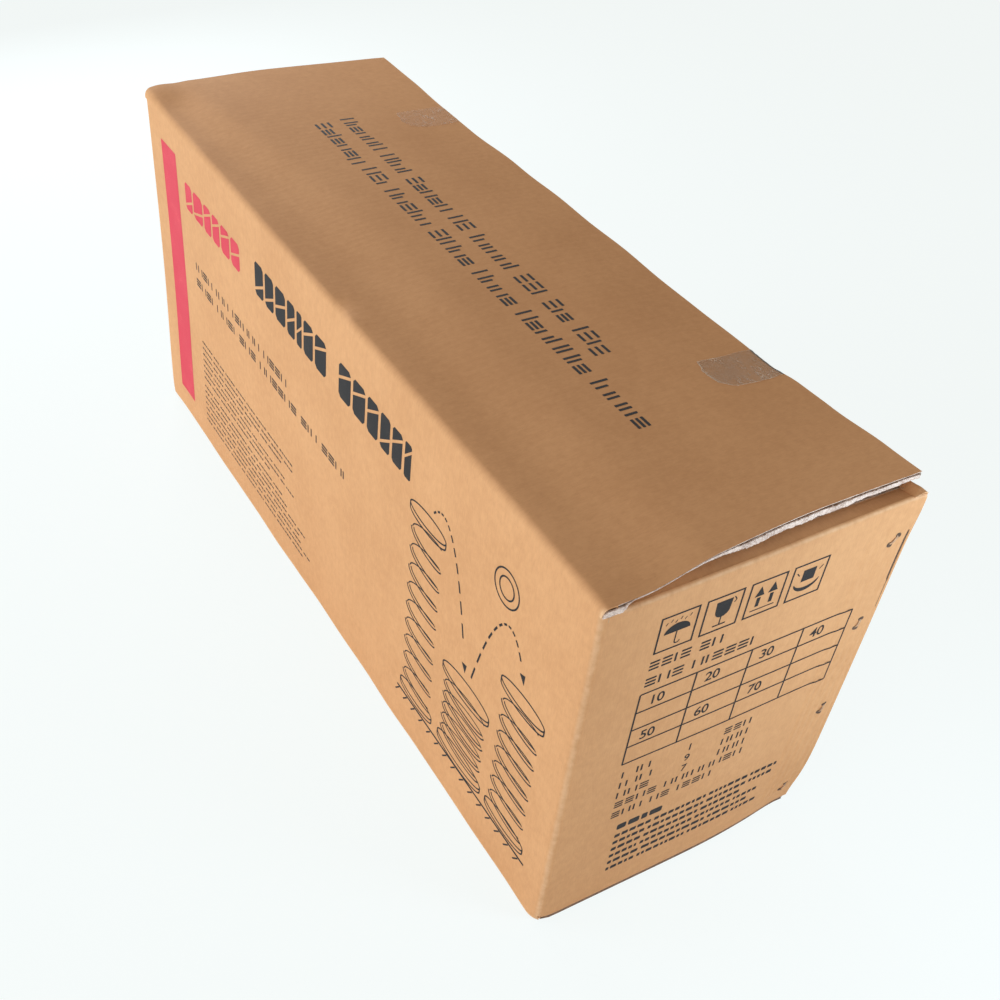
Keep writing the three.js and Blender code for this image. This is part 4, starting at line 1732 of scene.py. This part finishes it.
class InkSheet:
    """The marks that one ink leaves on one board."""

    clip = 0.16
    slit_half = 0.045
    figure_rise = 0.729
    figure_weight = 0.018

    def __init__(self, place: Placer) -> None:
        """Starts an empty sheet, from what puts flat places on the board."""
        self.place = place
        self.mesher = Mesher()

    def polygon(self, outline: Array) -> None:
        """Adds a filled convex outline, given anticlockwise."""
        points = self.place(outline[:, 0], outline[:, 1])
        self.mesher.add(points, np.arange(len(outline))[None, :], 0, outline)

    def strip(self, path: Array, width: float | Array) -> None:
        """Adds a line of a given width along a path, square to it at every point.

        Args:
            path: Rows of places, no more than some millimetres apart.
            width: The line's width, or one for each place.
        """
        reach = aside(path) * np.reshape(np.asarray(width) / 2, (-1, 1))
        pair = np.stack([path - reach, path + reach], axis=1)
        self.mesher.grid(self.place(pair[..., 0], pair[..., 1]), flat=pair)

    def line(self, start: Pair | Array, stop: Pair | Array, width: float) -> None:
        """Adds a straight line of a given width, in steps short enough to follow the board."""
        count = max(2, math.ceil(math.dist(start, stop) / 0.008) + 1)
        self.strip(np.linspace(start, stop, count), width)

    def block(self, left: float, low: float, wide: float, tall: float, slit: float = 0.0) -> None:
        """Adds a plain block with clipped corners, parted by a slanted slit where one is given.

        Args:
            left: Its left side.
            low: Its lower side.
            wide: Its width.
            tall: Its height.
            slit: The slit's height as a share of the block's, or 0.
        """
        clip = min(wide, tall) * self.clip
        right, high = left + wide, low + tall
        foot = [(left + clip, low), (right - clip, low), (right, low + clip)]
        heel = (left, low + clip)
        crown = [(right, high - clip), (right - clip, high), (left + clip, high), (left, high - clip)]
        if not slit:
            self.polygon(np.array([*foot, *crown, heel]))
            return
        middle, lean, half = low + tall * slit, min(wide * 0.45, tall * 0.15), tall * self.slit_half
        self.polygon(np.array([*foot, (right, middle + lean - half), (left, middle - lean - half), heel]))
        self.polygon(np.array([(left, middle - lean + half), (right, middle + lean + half), *crown]))

    def bars(self, kind: int, box: Box, stroke: float) -> None:
        """Adds one upright bar, two upright bars or three level bars.

        Args:
            kind: 0, 1 or 2, in that order.
            box: Their left side, lower side, width and height.
            stroke: A bar's thickness.
        """
        left, low, wide, tall = box
        if kind == 2:
            for share in (0.0, 0.5, 1.0):
                self.block(left, low + (tall - stroke) * share, wide, stroke)
            return
        for share in (0.0, 1.0)[: kind + 1]:
            self.block(left + (wide - stroke) * share, low, stroke, tall)

    def area(self, left: float, right: float, low: float, high: float) -> None:
        """Adds a filled rectangle between its sides, on a grid that follows the board."""
        a, b = lattice(spread(left, right, 0.008), spread(low, high, 0.008))
        self.mesher.grid(self.place(a, b), flat=merge(a, b))

    def number(self, value: int, left: float, low: float, tall: float) -> None:
        """Adds a plain number in Blender's own type.

        Args:
            value: The number.
            left: Its left side.
            low: Its base line.
            tall: The figures' height.
        """
        curve = bpy.data.curves.new("figures", "FONT")
        curve.body = str(value)
        curve.size = tall / self.figure_rise
        curve.offset = tall * self.figure_weight
        holder = link("figures", curve)
        mesh = bpy.data.meshes.new_from_object(holder.evaluated_get(bpy.context.evaluated_depsgraph_get()))
        mesh.calc_loop_triangles()
        flat = np.empty(len(mesh.vertices) * 3, np.float32)
        mesh.vertices.foreach_get("co", flat)
        triangles = np.empty(len(mesh.loop_triangles) * 3, np.int32)
        mesh.loop_triangles.foreach_get("vertices", triangles)
        flat = flat.reshape(-1, 3)[:, :2] + np.array([left, low])
        triangles = triangles.reshape(-1, 3)
        first, second, third = (flat[triangles[:, index]] for index in range(3))
        wrong = np.cross(second - first, third - first) < 0
        triangles[wrong] = triangles[wrong][:, ::-1]
        self.mesher.add(self.place(flat[:, 0], flat[:, 1]), triangles, 0, flat)
        bpy.data.objects.remove(holder)
        bpy.data.curves.remove(curve)
        bpy.data.meshes.remove(mesh)

    def build(self, name: str, body: str, ink: Finish) -> None:
        """Makes the sheet's piece, in its ink and on its body."""
        assign(self.mesher.build(name, [ink], closed=False, sharp=180.0), "board", body)


@dataclass(frozen=True)
class WordShape:
    """The block shapes that stand where words were: no letters, only their rhythm."""

    tall: float
    gap: float
    space: float
    mixed: bool = False
    marks: Marks = Marks.BLOCKS
    stroke: float = 0.0027
    bar_shares: Triple = (0.22, 0.48, 0.30)
    bar_widths: Triple = (0.34, 1.0, 0.95)
    block_widths: Box = (0.55, 0.85, 1.0, 1.15)
    rise_shares: Box = (0.18, 0.6, 0.12, 0.10)
    rises: Box = (1.0, 0.72, 0.94, 0.86)
    hang: float = 0.22
    slits: Triple = (0.30, 0.5, 0.70)

    def row(
        self, sheet: InkSheet, start: float, base: float, stop: float, words: Sequence[int], seed: int
    ) -> None:
        """Adds a row of words as plain blocks, fitted between two places.

        Every mark takes a random width, and bars the width that their kind needs. In mixed rows some marks
        stand taller and some hang lower, by a random choice.

        Args:
            sheet: The sheet that takes them.
            start: The row's left end.
            base: Its base line.
            stop: Its right end.
            words: How many blocks each word has.
            seed: Picks the shapes.
        """
        rng = np.random.default_rng(seed)
        kinds = [rng.choice(3, count, p=self.bar_shares) for count in words]
        if self.marks is Marks.BARS:
            widths = [np.array(self.bar_widths)[kind] for kind in kinds]
        else:
            widths = [rng.choice(self.block_widths, count) for count in words]
        gaps = sum(count - 1 for count in words) * self.gap + (len(words) - 1) * self.space
        scale = (stop - start - gaps) / sum(word.sum() for word in widths)
        left = start
        for word, group in zip(widths, kinds):
            for index, width in enumerate(word):
                wide, low, tall = width * scale, base, self.tall
                if self.mixed:
                    rise = 0 if index == 0 else rng.choice(4, p=self.rise_shares)
                    low = base - self.tall * self.hang if rise == 2 else base
                    tall = self.tall * self.rises[rise]
                if self.marks is Marks.BARS:
                    sheet.bars(group[index], (left, low, wide, tall), self.stroke)
                else:
                    slit = rng.choice(self.slits) if self.marks is Marks.SLIT_BLOCKS else 0.0
                    sheet.block(left, low, wide, tall, slit)
                left += wide + self.gap
            left += self.space - self.gap


@dataclass(frozen=True)
class FrontPrint:
    """The long side's print: a red bar, rows of plain blocks, and a line drawing of springs."""

    bar: Box = (-0.403, -0.359, 0.0345, 0.355)
    red_title: WordShape = WordShape(0.031, 0.004, 0.02, marks=Marks.SLIT_BLOCKS)
    red_row: Row = (-0.336, 0.3045, -0.183, (6,), 1)
    black_title: WordShape = WordShape(0.036, 0.0045, 0.026, marks=Marks.SLIT_BLOCKS)
    black_row: Row = (-0.143, 0.305, 0.183, (7, 6), 2)
    line: WordShape = WordShape(0.0090, 0.0026, 0.0115, marks=Marks.BARS, stroke=0.0021)
    line_rows: tuple[Row, Row] = (
        (-0.320, 0.2385, -0.070, (4, 3, 6, 4), 3), (-0.321, 0.2190, 0.064, (4, 4, 3, 6, 3, 4), 4),
    )
    small: WordShape = WordShape(0.0020, 0.0012, 0.0044)
    small_left: float = -0.317
    small_top: float = 0.146
    small_pitch: float = 0.0081
    small_wide: float = 0.262
    small_more: float = 0.048
    small_word: float = 0.026
    left: float = 0.184
    ground: float = 0.064
    stroke: float = 0.0016
    tilt: float = 0.26
    thick: float = 0.005
    wire: float = 0.0022
    springs: tuple[Box, ...] = (
        (0.032, 0.200, 0.024, 9.0), (0.112, 0.074, 0.032, 5.0), (0.190, 0.140, 0.025, 7.0),
    )
    hops: tuple[tuple[Pair, Pair, float], ...] = (
        ((0.040, 0.304), (0.108, 0.180), 0.052), ((0.118, 0.184), (0.188, 0.246), 0.066),
    )

    def words(self, red: InkSheet, black: InkSheet) -> None:
        """Adds the bar and the rows of blocks, those of the three small text blocks of random length.

        Args:
            red: The red ink.
            black: The black ink.
        """
        red.area(*self.bar)
        self.red_title.row(red, *self.red_row)
        self.black_title.row(black, *self.black_row)
        for row in self.line_rows:
            self.line.row(black, *row)
        rng = np.random.default_rng(9)
        for row in range(14):
            base = self.small_top - row * self.small_pitch - (0.004 if row > 6 else 0.0)
            reach = rng.uniform(0.35 if row in (3, 6, 10) else 0.86, 1.0)
            stop = self.small_left + self.small_wide * reach + self.small_more * (row > 8)
            count = int((stop - self.small_left) / self.small_word)
            self.small.row(black, self.small_left, base, stop, tuple(rng.integers(2, 7, count)), 20 + row)

    def coil(self, sheet: InkSheet, foot: Pair, tall: float, radius: float, turns: float) -> None:
        """Draws a spring from a little above: sideways the cosine, upwards the rise less the sine's share.

        The half turns in front are drawn as a double line and those behind as a thin one.

        Args:
            sheet: The ink.
            foot: The middle of its lower end.
            tall: Its height.
            radius: Its radius.
            turns: The number of turns.
        """
        for half in range(int(turns * 2)):
            angle = np.linspace(half * math.pi, (half + 1) * math.pi, 26)
            level = foot[1] + tall * angle / (turns * TURN)
            path = ellipse(foot[0], level, radius, -radius * self.tilt, angle)
            if half % 2:
                sheet.strip(path, self.stroke * 0.8)
                continue
            for sign in (-1, 1):
                sheet.strip(path + sign * self.wire * aside(path), self.stroke)

    def plate(self, sheet: InkSheet, middle: float, level: float, radius: float) -> None:
        """Draws a flat round plate: a whole ellipse, half of one below it, and two short sides.

        Args:
            sheet: The ink.
            middle: Its middle.
            level: Its upper face.
            radius: Its radius.
        """
        for angle, sink in ((np.linspace(0, TURN, 49), 0.0), (np.linspace(math.pi, TURN, 25), self.thick)):
            sheet.strip(ellipse(middle, level - sink, radius, radius * self.tilt, angle), self.stroke)
        for side in (middle - radius, middle + radius):
            sheet.line((side, level), (side, level - self.thick), self.stroke)

    def hop(self, sheet: InkSheet, start: Pair, stop: Pair, height: float) -> None:
        """Draws a dashed arc with an arrow head: a parabola between two places.

        Args:
            sheet: The ink.
            start: Where it leaves.
            stop: Where it lands.
            height: Its rise above the straight line.
        """
        path = np.linspace(start, stop, 97)
        share = np.linspace(0, 1, 97)
        path[:, 1] += 4 * height * share * (1 - share)
        for dash in range(0, 88, 8):
            sheet.strip(path[dash : dash + 6], self.stroke * 1.3)
        way = unit(path[-1] - path[-6])
        back, aslant = way * 0.010, np.array([-way[1], way[0]]) * 0.004
        sheet.polygon(path[-1] + np.array([0 * back, aslant - back, -aslant - back]))

    def drawing(self, sheet: InkSheet) -> None:
        """Draws three springs of different heights on a ground line, with hops between them.

        Args:
            sheet: The black ink.
        """
        left, ground = self.left, self.ground
        for offset, tall, radius, turns in self.springs:
            middle = left + offset
            self.plate(sheet, middle, ground + 0.006, radius + 0.006)
            self.coil(sheet, (middle, ground + 0.012), tall, radius, turns)
            self.plate(sheet, middle, ground + tall + 0.024, radius + 0.006)
        sheet.line((left - 0.004, ground - 0.010), (left + 0.226, ground - 0.010), self.stroke * 1.6)
        for step in range(15):
            foot = left + step * 0.0155
            sheet.line((foot, ground - 0.012), (foot - 0.007, ground - 0.020), self.stroke)
        for start, stop, height in self.hops:
            self.hop(sheet, (left + start[0], start[1]), (left + stop[0], stop[1]), height)
        for ring in (0.010, 0.017):
            sheet.strip(ellipse(left + 0.150, 0.316, ring, ring, np.linspace(0, TURN, 37)), self.stroke)

    def build(self) -> None:
        """Prints the long side."""
        red, black, lines = (InkSheet(CARTON.front.lay) for _ in range(3))
        self.words(red, black)
        self.drawing(lines)
        red.build("front_print_red", "carton_body", PALETTE.red)
        black.build("front_print_black", "carton_body", PALETTE.black)
        lines.build("front_spring_drawing", "carton_body", PALETTE.black)


@dataclass(frozen=True)
class EndPrint:
    """The label end's print: four handling signs, a ruled table of numbers, and rows of plain blocks."""

    sign_left: float = -0.090
    sign_low: float = 0.322
    sign_wide: float = 0.0325
    sign_tall: float = 0.0345
    sign_pitch: float = 0.0396
    table: Box = (-0.0923, 0.113, 0.1975, 0.2793)
    columns: Triple = (-0.0406, 0.0122, 0.0631)
    rows: Triple = (0.2585, 0.2385, 0.2185)
    stroke: float = 0.0016
    figures: float = 0.0105
    cell_margin: float = 0.010
    caps: WordShape = WordShape(0.0092, 0.0024, 0.0085, marks=Marks.BARS, stroke=0.0019)
    cap_rows: tuple[Row, ...] = ((-0.091, 0.3045, -0.025, (4, 2), 41), (-0.091, 0.2868, 0.010, (3, 6), 42))
    plain: WordShape = WordShape(0.0078, 0.0024, 0.0085, marks=Marks.BARS, stroke=0.0017)
    weights: tuple[Pair, ...] = ((0.1785, 1), (0.1650, 9), (0.1515, 7))
    plain_rows: tuple[Row, ...] = (
        (-0.0887, 0.1380, 0.0416, (4, 8), 50), (-0.0890, 0.1240, 0.0120, (3, 2, 4), 51),
    )
    heading: WordShape = WordShape(0.0075, 0.0022, 0.0050)
    heading_row: Row = (-0.079, 0.1020, -0.033, (4,), 52)
    small: WordShape = WordShape(0.0044, 0.0017, 0.0036)
    small_stops: tuple[float, ...] = (0.097, 0.094, 0.060, 0.083, 0.074, 0.088)

    def umbrella(self, sheet: InkSheet, foot: Array) -> None:
        """Draws an umbrella in the rain: half a disc, a hooked handle and slanted drops.

        Args:
            sheet: The ink.
            foot: The middle of the frame's lower side.
        """
        sheet.polygon(foot + ellipse(0, 0.0165, 0.0115, 0.0085, np.linspace(0, math.pi, 15)))
        hook = ellipse(0.0022, 0.006, 0.0022, 0.0022, np.linspace(math.pi, TURN, 9))
        sheet.strip(foot + np.concatenate([np.linspace([0, 0.0165], [0, 0.007], 5), hook]), 0.0011)
        for index in range(6):
            drop = foot + (0.006 - self.sign_wide / 2 + index * 0.0041, 0.0285 + 0.0018 * (index % 2))
            sheet.line(drop, drop - (0.0014, 0.0024), 0.0008)

    def glass(self, sheet: InkSheet, foot: Array) -> None:
        """Draws a stemmed glass: a rounded bowl, a stem and a foot, with a break at its rim.

        Args:
            sheet: The ink.
            foot: The middle of the frame's lower side.
        """
        bowl = ellipse(0, 0.0200, 0.0068, 0.0070, np.linspace(math.pi, TURN, 13))
        sheet.polygon(foot + np.concatenate([bowl, [[0.0074, 0.0295], [-0.0074, 0.0295]]]))
        for start, stop, width in (
            ((0, 0.0135), (0, 0.0058), 0.0012), ((-0.0058, 0.0052), (0.0058, 0.0052), 0.0014),
            ((0.0085, 0.0300), (0.0110, 0.0262), 0.0009), ((0.0110, 0.0262), (0.0092, 0.0240), 0.0009),
        ):
            sheet.line(foot + start, foot + stop, width)

    def arrows(self, sheet: InkSheet, foot: Array) -> None:
        """Draws two upward arrows over a base line.

        Args:
            sheet: The ink.
            foot: The middle of the frame's lower side.
        """
        for share in (-0.19, 0.19):
            x, z = foot + (self.sign_wide * share, 0)
            sheet.polygon(np.array([[x - 0.0045, z + 0.0195], [x + 0.0045, z + 0.0195], [x, z + 0.0290]]))
            sheet.area(x - 0.0017, x + 0.0017, z + 0.0088, z + 0.0180)
        reach = self.sign_wide / 2 - 0.0050
        sheet.line(foot + (-reach, 0.0055), foot + (reach, 0.0055), 0.0011)

    def palm(self, sheet: InkSheet, foot: Array) -> None:
        """Draws a box that rests on a cupped palm: a square, and a crescent between two arcs.

        Args:
            sheet: The ink.
            foot: The middle of the frame's lower side.
        """
        sheet.area(foot[0] - 0.0062, foot[0] + 0.0062, foot[1] + 0.0165, foot[1] + 0.0282)
        angle = np.linspace(math.pi * 1.08, math.pi * 1.92, 21)
        width = 0.0008 + 0.0030 * np.sin(np.linspace(0, math.pi, 21))
        sheet.strip(foot + ellipse(0, 0.0175, 0.0125, 0.0095, angle), width)
        for side in (-1, 1):
            sheet.line(foot + (side * 0.0095, 0.0240), foot + (side * 0.0125, 0.0275), 0.0009)

    def signs(self, sheet: InkSheet) -> None:
        """Draws the four framed signs.

        Args:
            sheet: The ink.
        """
        wide, tall, half = self.sign_wide, self.sign_tall, self.stroke / 2
        for index, draw in enumerate((self.umbrella, self.glass, self.arrows, self.palm)):
            corner = np.array([self.sign_left + index * self.sign_pitch, self.sign_low])
            for rise in (0, tall):
                sheet.line(corner + (-half, rise), corner + (wide + half, rise), self.stroke)
            for along in (0, wide):
                sheet.line(corner + (along, 0), corner + (along, tall), self.stroke)
            draw(sheet, corner + (wide / 2, 0))

    def ruled(self, sheet: InkSheet) -> None:
        """Draws the table's rules and plain round numbers in its cells.

        Args:
            sheet: The ink.
        """
        left, right, low, high = self.table
        for level in (low, *self.rows, high):
            sheet.line((left, level), (right, level), self.stroke)
        for place in (left, *self.columns, right):
            sheet.line((place, low), (place, high), self.stroke)
        cells = (left, *self.columns)
        for first, kept, base in ((1, 4, self.rows[0] + 0.0050), (5, 3, self.rows[2] + 0.0045)):
            for index, place in enumerate(cells[:kept]):
                sheet.number(10 * (first + index), place + self.cell_margin, base, self.figures)

    def words(self, sheet: InkSheet) -> None:
        """Adds the rows of plain blocks.

        Args:
            sheet: The ink.
        """
        for row in self.cap_rows:
            self.caps.row(sheet, *row)
        for index, (base, number) in enumerate(self.weights):
            self.plain.row(sheet, -0.0895, base, -0.058, (3,), 43 + index)
            sheet.number(number, -0.026, base, 0.0085)
            self.plain.row(sheet, 0.012, base, 0.040, (3,), 47 + index)
        for row in self.plain_rows:
            self.plain.row(sheet, *row)
        self.heading.row(sheet, *self.heading_row)
        for index, stop in enumerate(self.small_stops):
            words = (5, 9, 7, 5) if stop > 0.08 else (4, 8, 6)
            self.small.row(sheet, -0.079, 0.0905 - index * 0.0098, stop, words, 60 + index)

    def build(self) -> None:
        """Prints the label end."""
        sheet = InkSheet(CARTON.label.lay)
        self.signs(sheet)
        self.ruled(sheet)
        self.words(sheet)
        sheet.build("end_print_black", "carton_body", PALETTE.black)


@dataclass(frozen=True)
class LidPrint:
    """The two rows across the lid, as plain blocks of mixed heights."""

    shape: WordShape = WordShape(0.0165, 0.0030, 0.0130, mixed=True, marks=Marks.BARS)
    rows: tuple[Row, Row] = (
        (-0.286, 0.0140, 0.201, (6, 4, 5, 2, 6, 3, 3, 4), 81),
        (-0.283, -0.0165, 0.298, (7, 3, 6, 5, 4, 7, 6), 82),
    )

    def build(self) -> None:
        """Prints the lid."""
        sheet = InkSheet(LID.lay)
        for row in self.rows:
            self.shape.row(sheet, *row)
        sheet.build("lid_print_black", "outer_lid", PALETTE.black)


@dataclass(frozen=True)
class Studio:
    """The pale floor, the soft light and the camera of the photograph."""

    eye: Triple = (0.85405, -0.53279, 0.93577)
    right: Triple = (0.47706, 0.87732, 0.05228)
    up: Triple = (-0.62629, 0.29762, 0.72054)
    back: Triple = (0.61659, -0.37648, 0.69144)
    lens: float = 43.58
    shift: Pair = (0.0735, 0.0811)
    floor_half: float = 14.0
    floor_level: float = -0.0004
    pale: Colour = (0.925, 0.970, 0.962)
    seen_pale: Colour = (0.930, 0.972, 0.964)
    sky: float = 0.256
    sky_tint: Colour = (1.15, 1.0, 0.85)
    patchy: Colour = (0.90, 0.95, 0.945)
    glow: Colour = (0.955, 1.0, 0.99)
    glow_share: float = 0.88
    mottle: Triple = (40.0, 3.0, 0.5)
    aim: Triple = (0.05, 0.0, 0.2)
    lamps: tuple[Lamp, ...] = (
        ("front_near_lamp", (1.0, -2.2, 0.75), 1.4, 20.2, (0.94, 1.0, 1.06)),
        ("front_far_lamp", (-1.2, -2.2, 0.80), 1.4, 31.5, (0.82, 1.0, 1.18)),
        ("end_lamp", (0.86, 0.29, 0.435), 0.25, 2.30, (0.78, 1.0, 1.22)),
        ("back_lamp", (-1.5, 0.0, 0.75), 0.8, 13.2, (0.90, 1.0, 1.10)),
    )

    def camera(self) -> None:
        """Sets the camera by its three axes and its place."""
        data = bpy.data.cameras.new("photo_camera")
        data.sensor_width = 36.0
        data.lens = self.lens
        data.shift_x, data.shift_y = self.shift
        data.clip_start, data.clip_end = 0.05, 60.0
        holder = link("photo_camera", data)
        axes = Matrix((self.right, self.up, self.back)).transposed()
        holder.matrix_world = Matrix.LocRotScale(Vector(self.eye), axes.to_quaternion(), None)
        bpy.context.scene.camera = holder

    def floor(self) -> None:
        """Lays the floor, which the camera sees mostly at its own pale colour, with the carton's shadow."""
        mesher = Mesher()
        across = np.linspace(-self.floor_half, self.floor_half, 3)
        mesher.grid(merge(*lattice(across, across), self.floor_level), 0)
        recipe = Recipe("studio_floor")
        fine = recipe.noise(recipe.place(), self.mottle)
        tone = recipe.blend(fine * 0.1, self.pale, self.patchy)
        paint = recipe.node("BsdfDiffuse", {}, {"Color": tone})
        glow = recipe.node("Emission", {}, {"Color": (*self.glow, 1.0), "Strength": 1.0})
        mixed = recipe.node("MixShader", {}, {0: recipe.seen() * self.glow_share, 1: paint, 2: glow})
        recipe.surface("Material", mixed)
        mesher.build("studio_floor", [recipe.owner], closed=False)

    def light(self) -> None:
        """Sets the sky, and hangs the square area lamps, which face the carton."""
        recipe = Recipe("studio_sky", world=True)
        sky = recipe.node("Background", {}, {"Color": (*self.sky_tint, 1.0), "Strength": self.sky})
        shown = recipe.node("Background", {}, {"Color": (*self.seen_pale, 1.0)})
        recipe.surface("World", recipe.node("MixShader", {}, {0: recipe.seen(), 1: sky, 2: shown}))
        bpy.context.scene.world = recipe.owner
        for name, place, size, watts, tint in self.lamps:
            data = bpy.data.lights.new(name, "AREA")
            data.size, data.energy, data.color = size, watts, tint
            holder = link(name, data)
            holder.location = place
            holder.visible_camera = False
            aim = Vector(self.aim) - Vector(place)
            holder.rotation_euler = aim.to_track_quat("-Z", "Y").to_euler()

    def build(self) -> None:
        """Sets the whole studio."""
        bpy.context.scene.view_settings.view_transform = "Standard"
        self.camera()
        self.floor()
        self.light()


def main() -> None:
    """Builds the carton, its print and the studio, in order."""
    logging.basicConfig(level=logging.INFO, format="%(message)s")
    for part in (CARTON, Lid(), Tapes(), FrontPrint(), EndPrint(), LidPrint(), Studio()):
        part.build()
    LOG.info("pushed: %s", ", ".join(push.what for push in CRUMPLE.pushes))


if __name__ == "__main__":
    main()
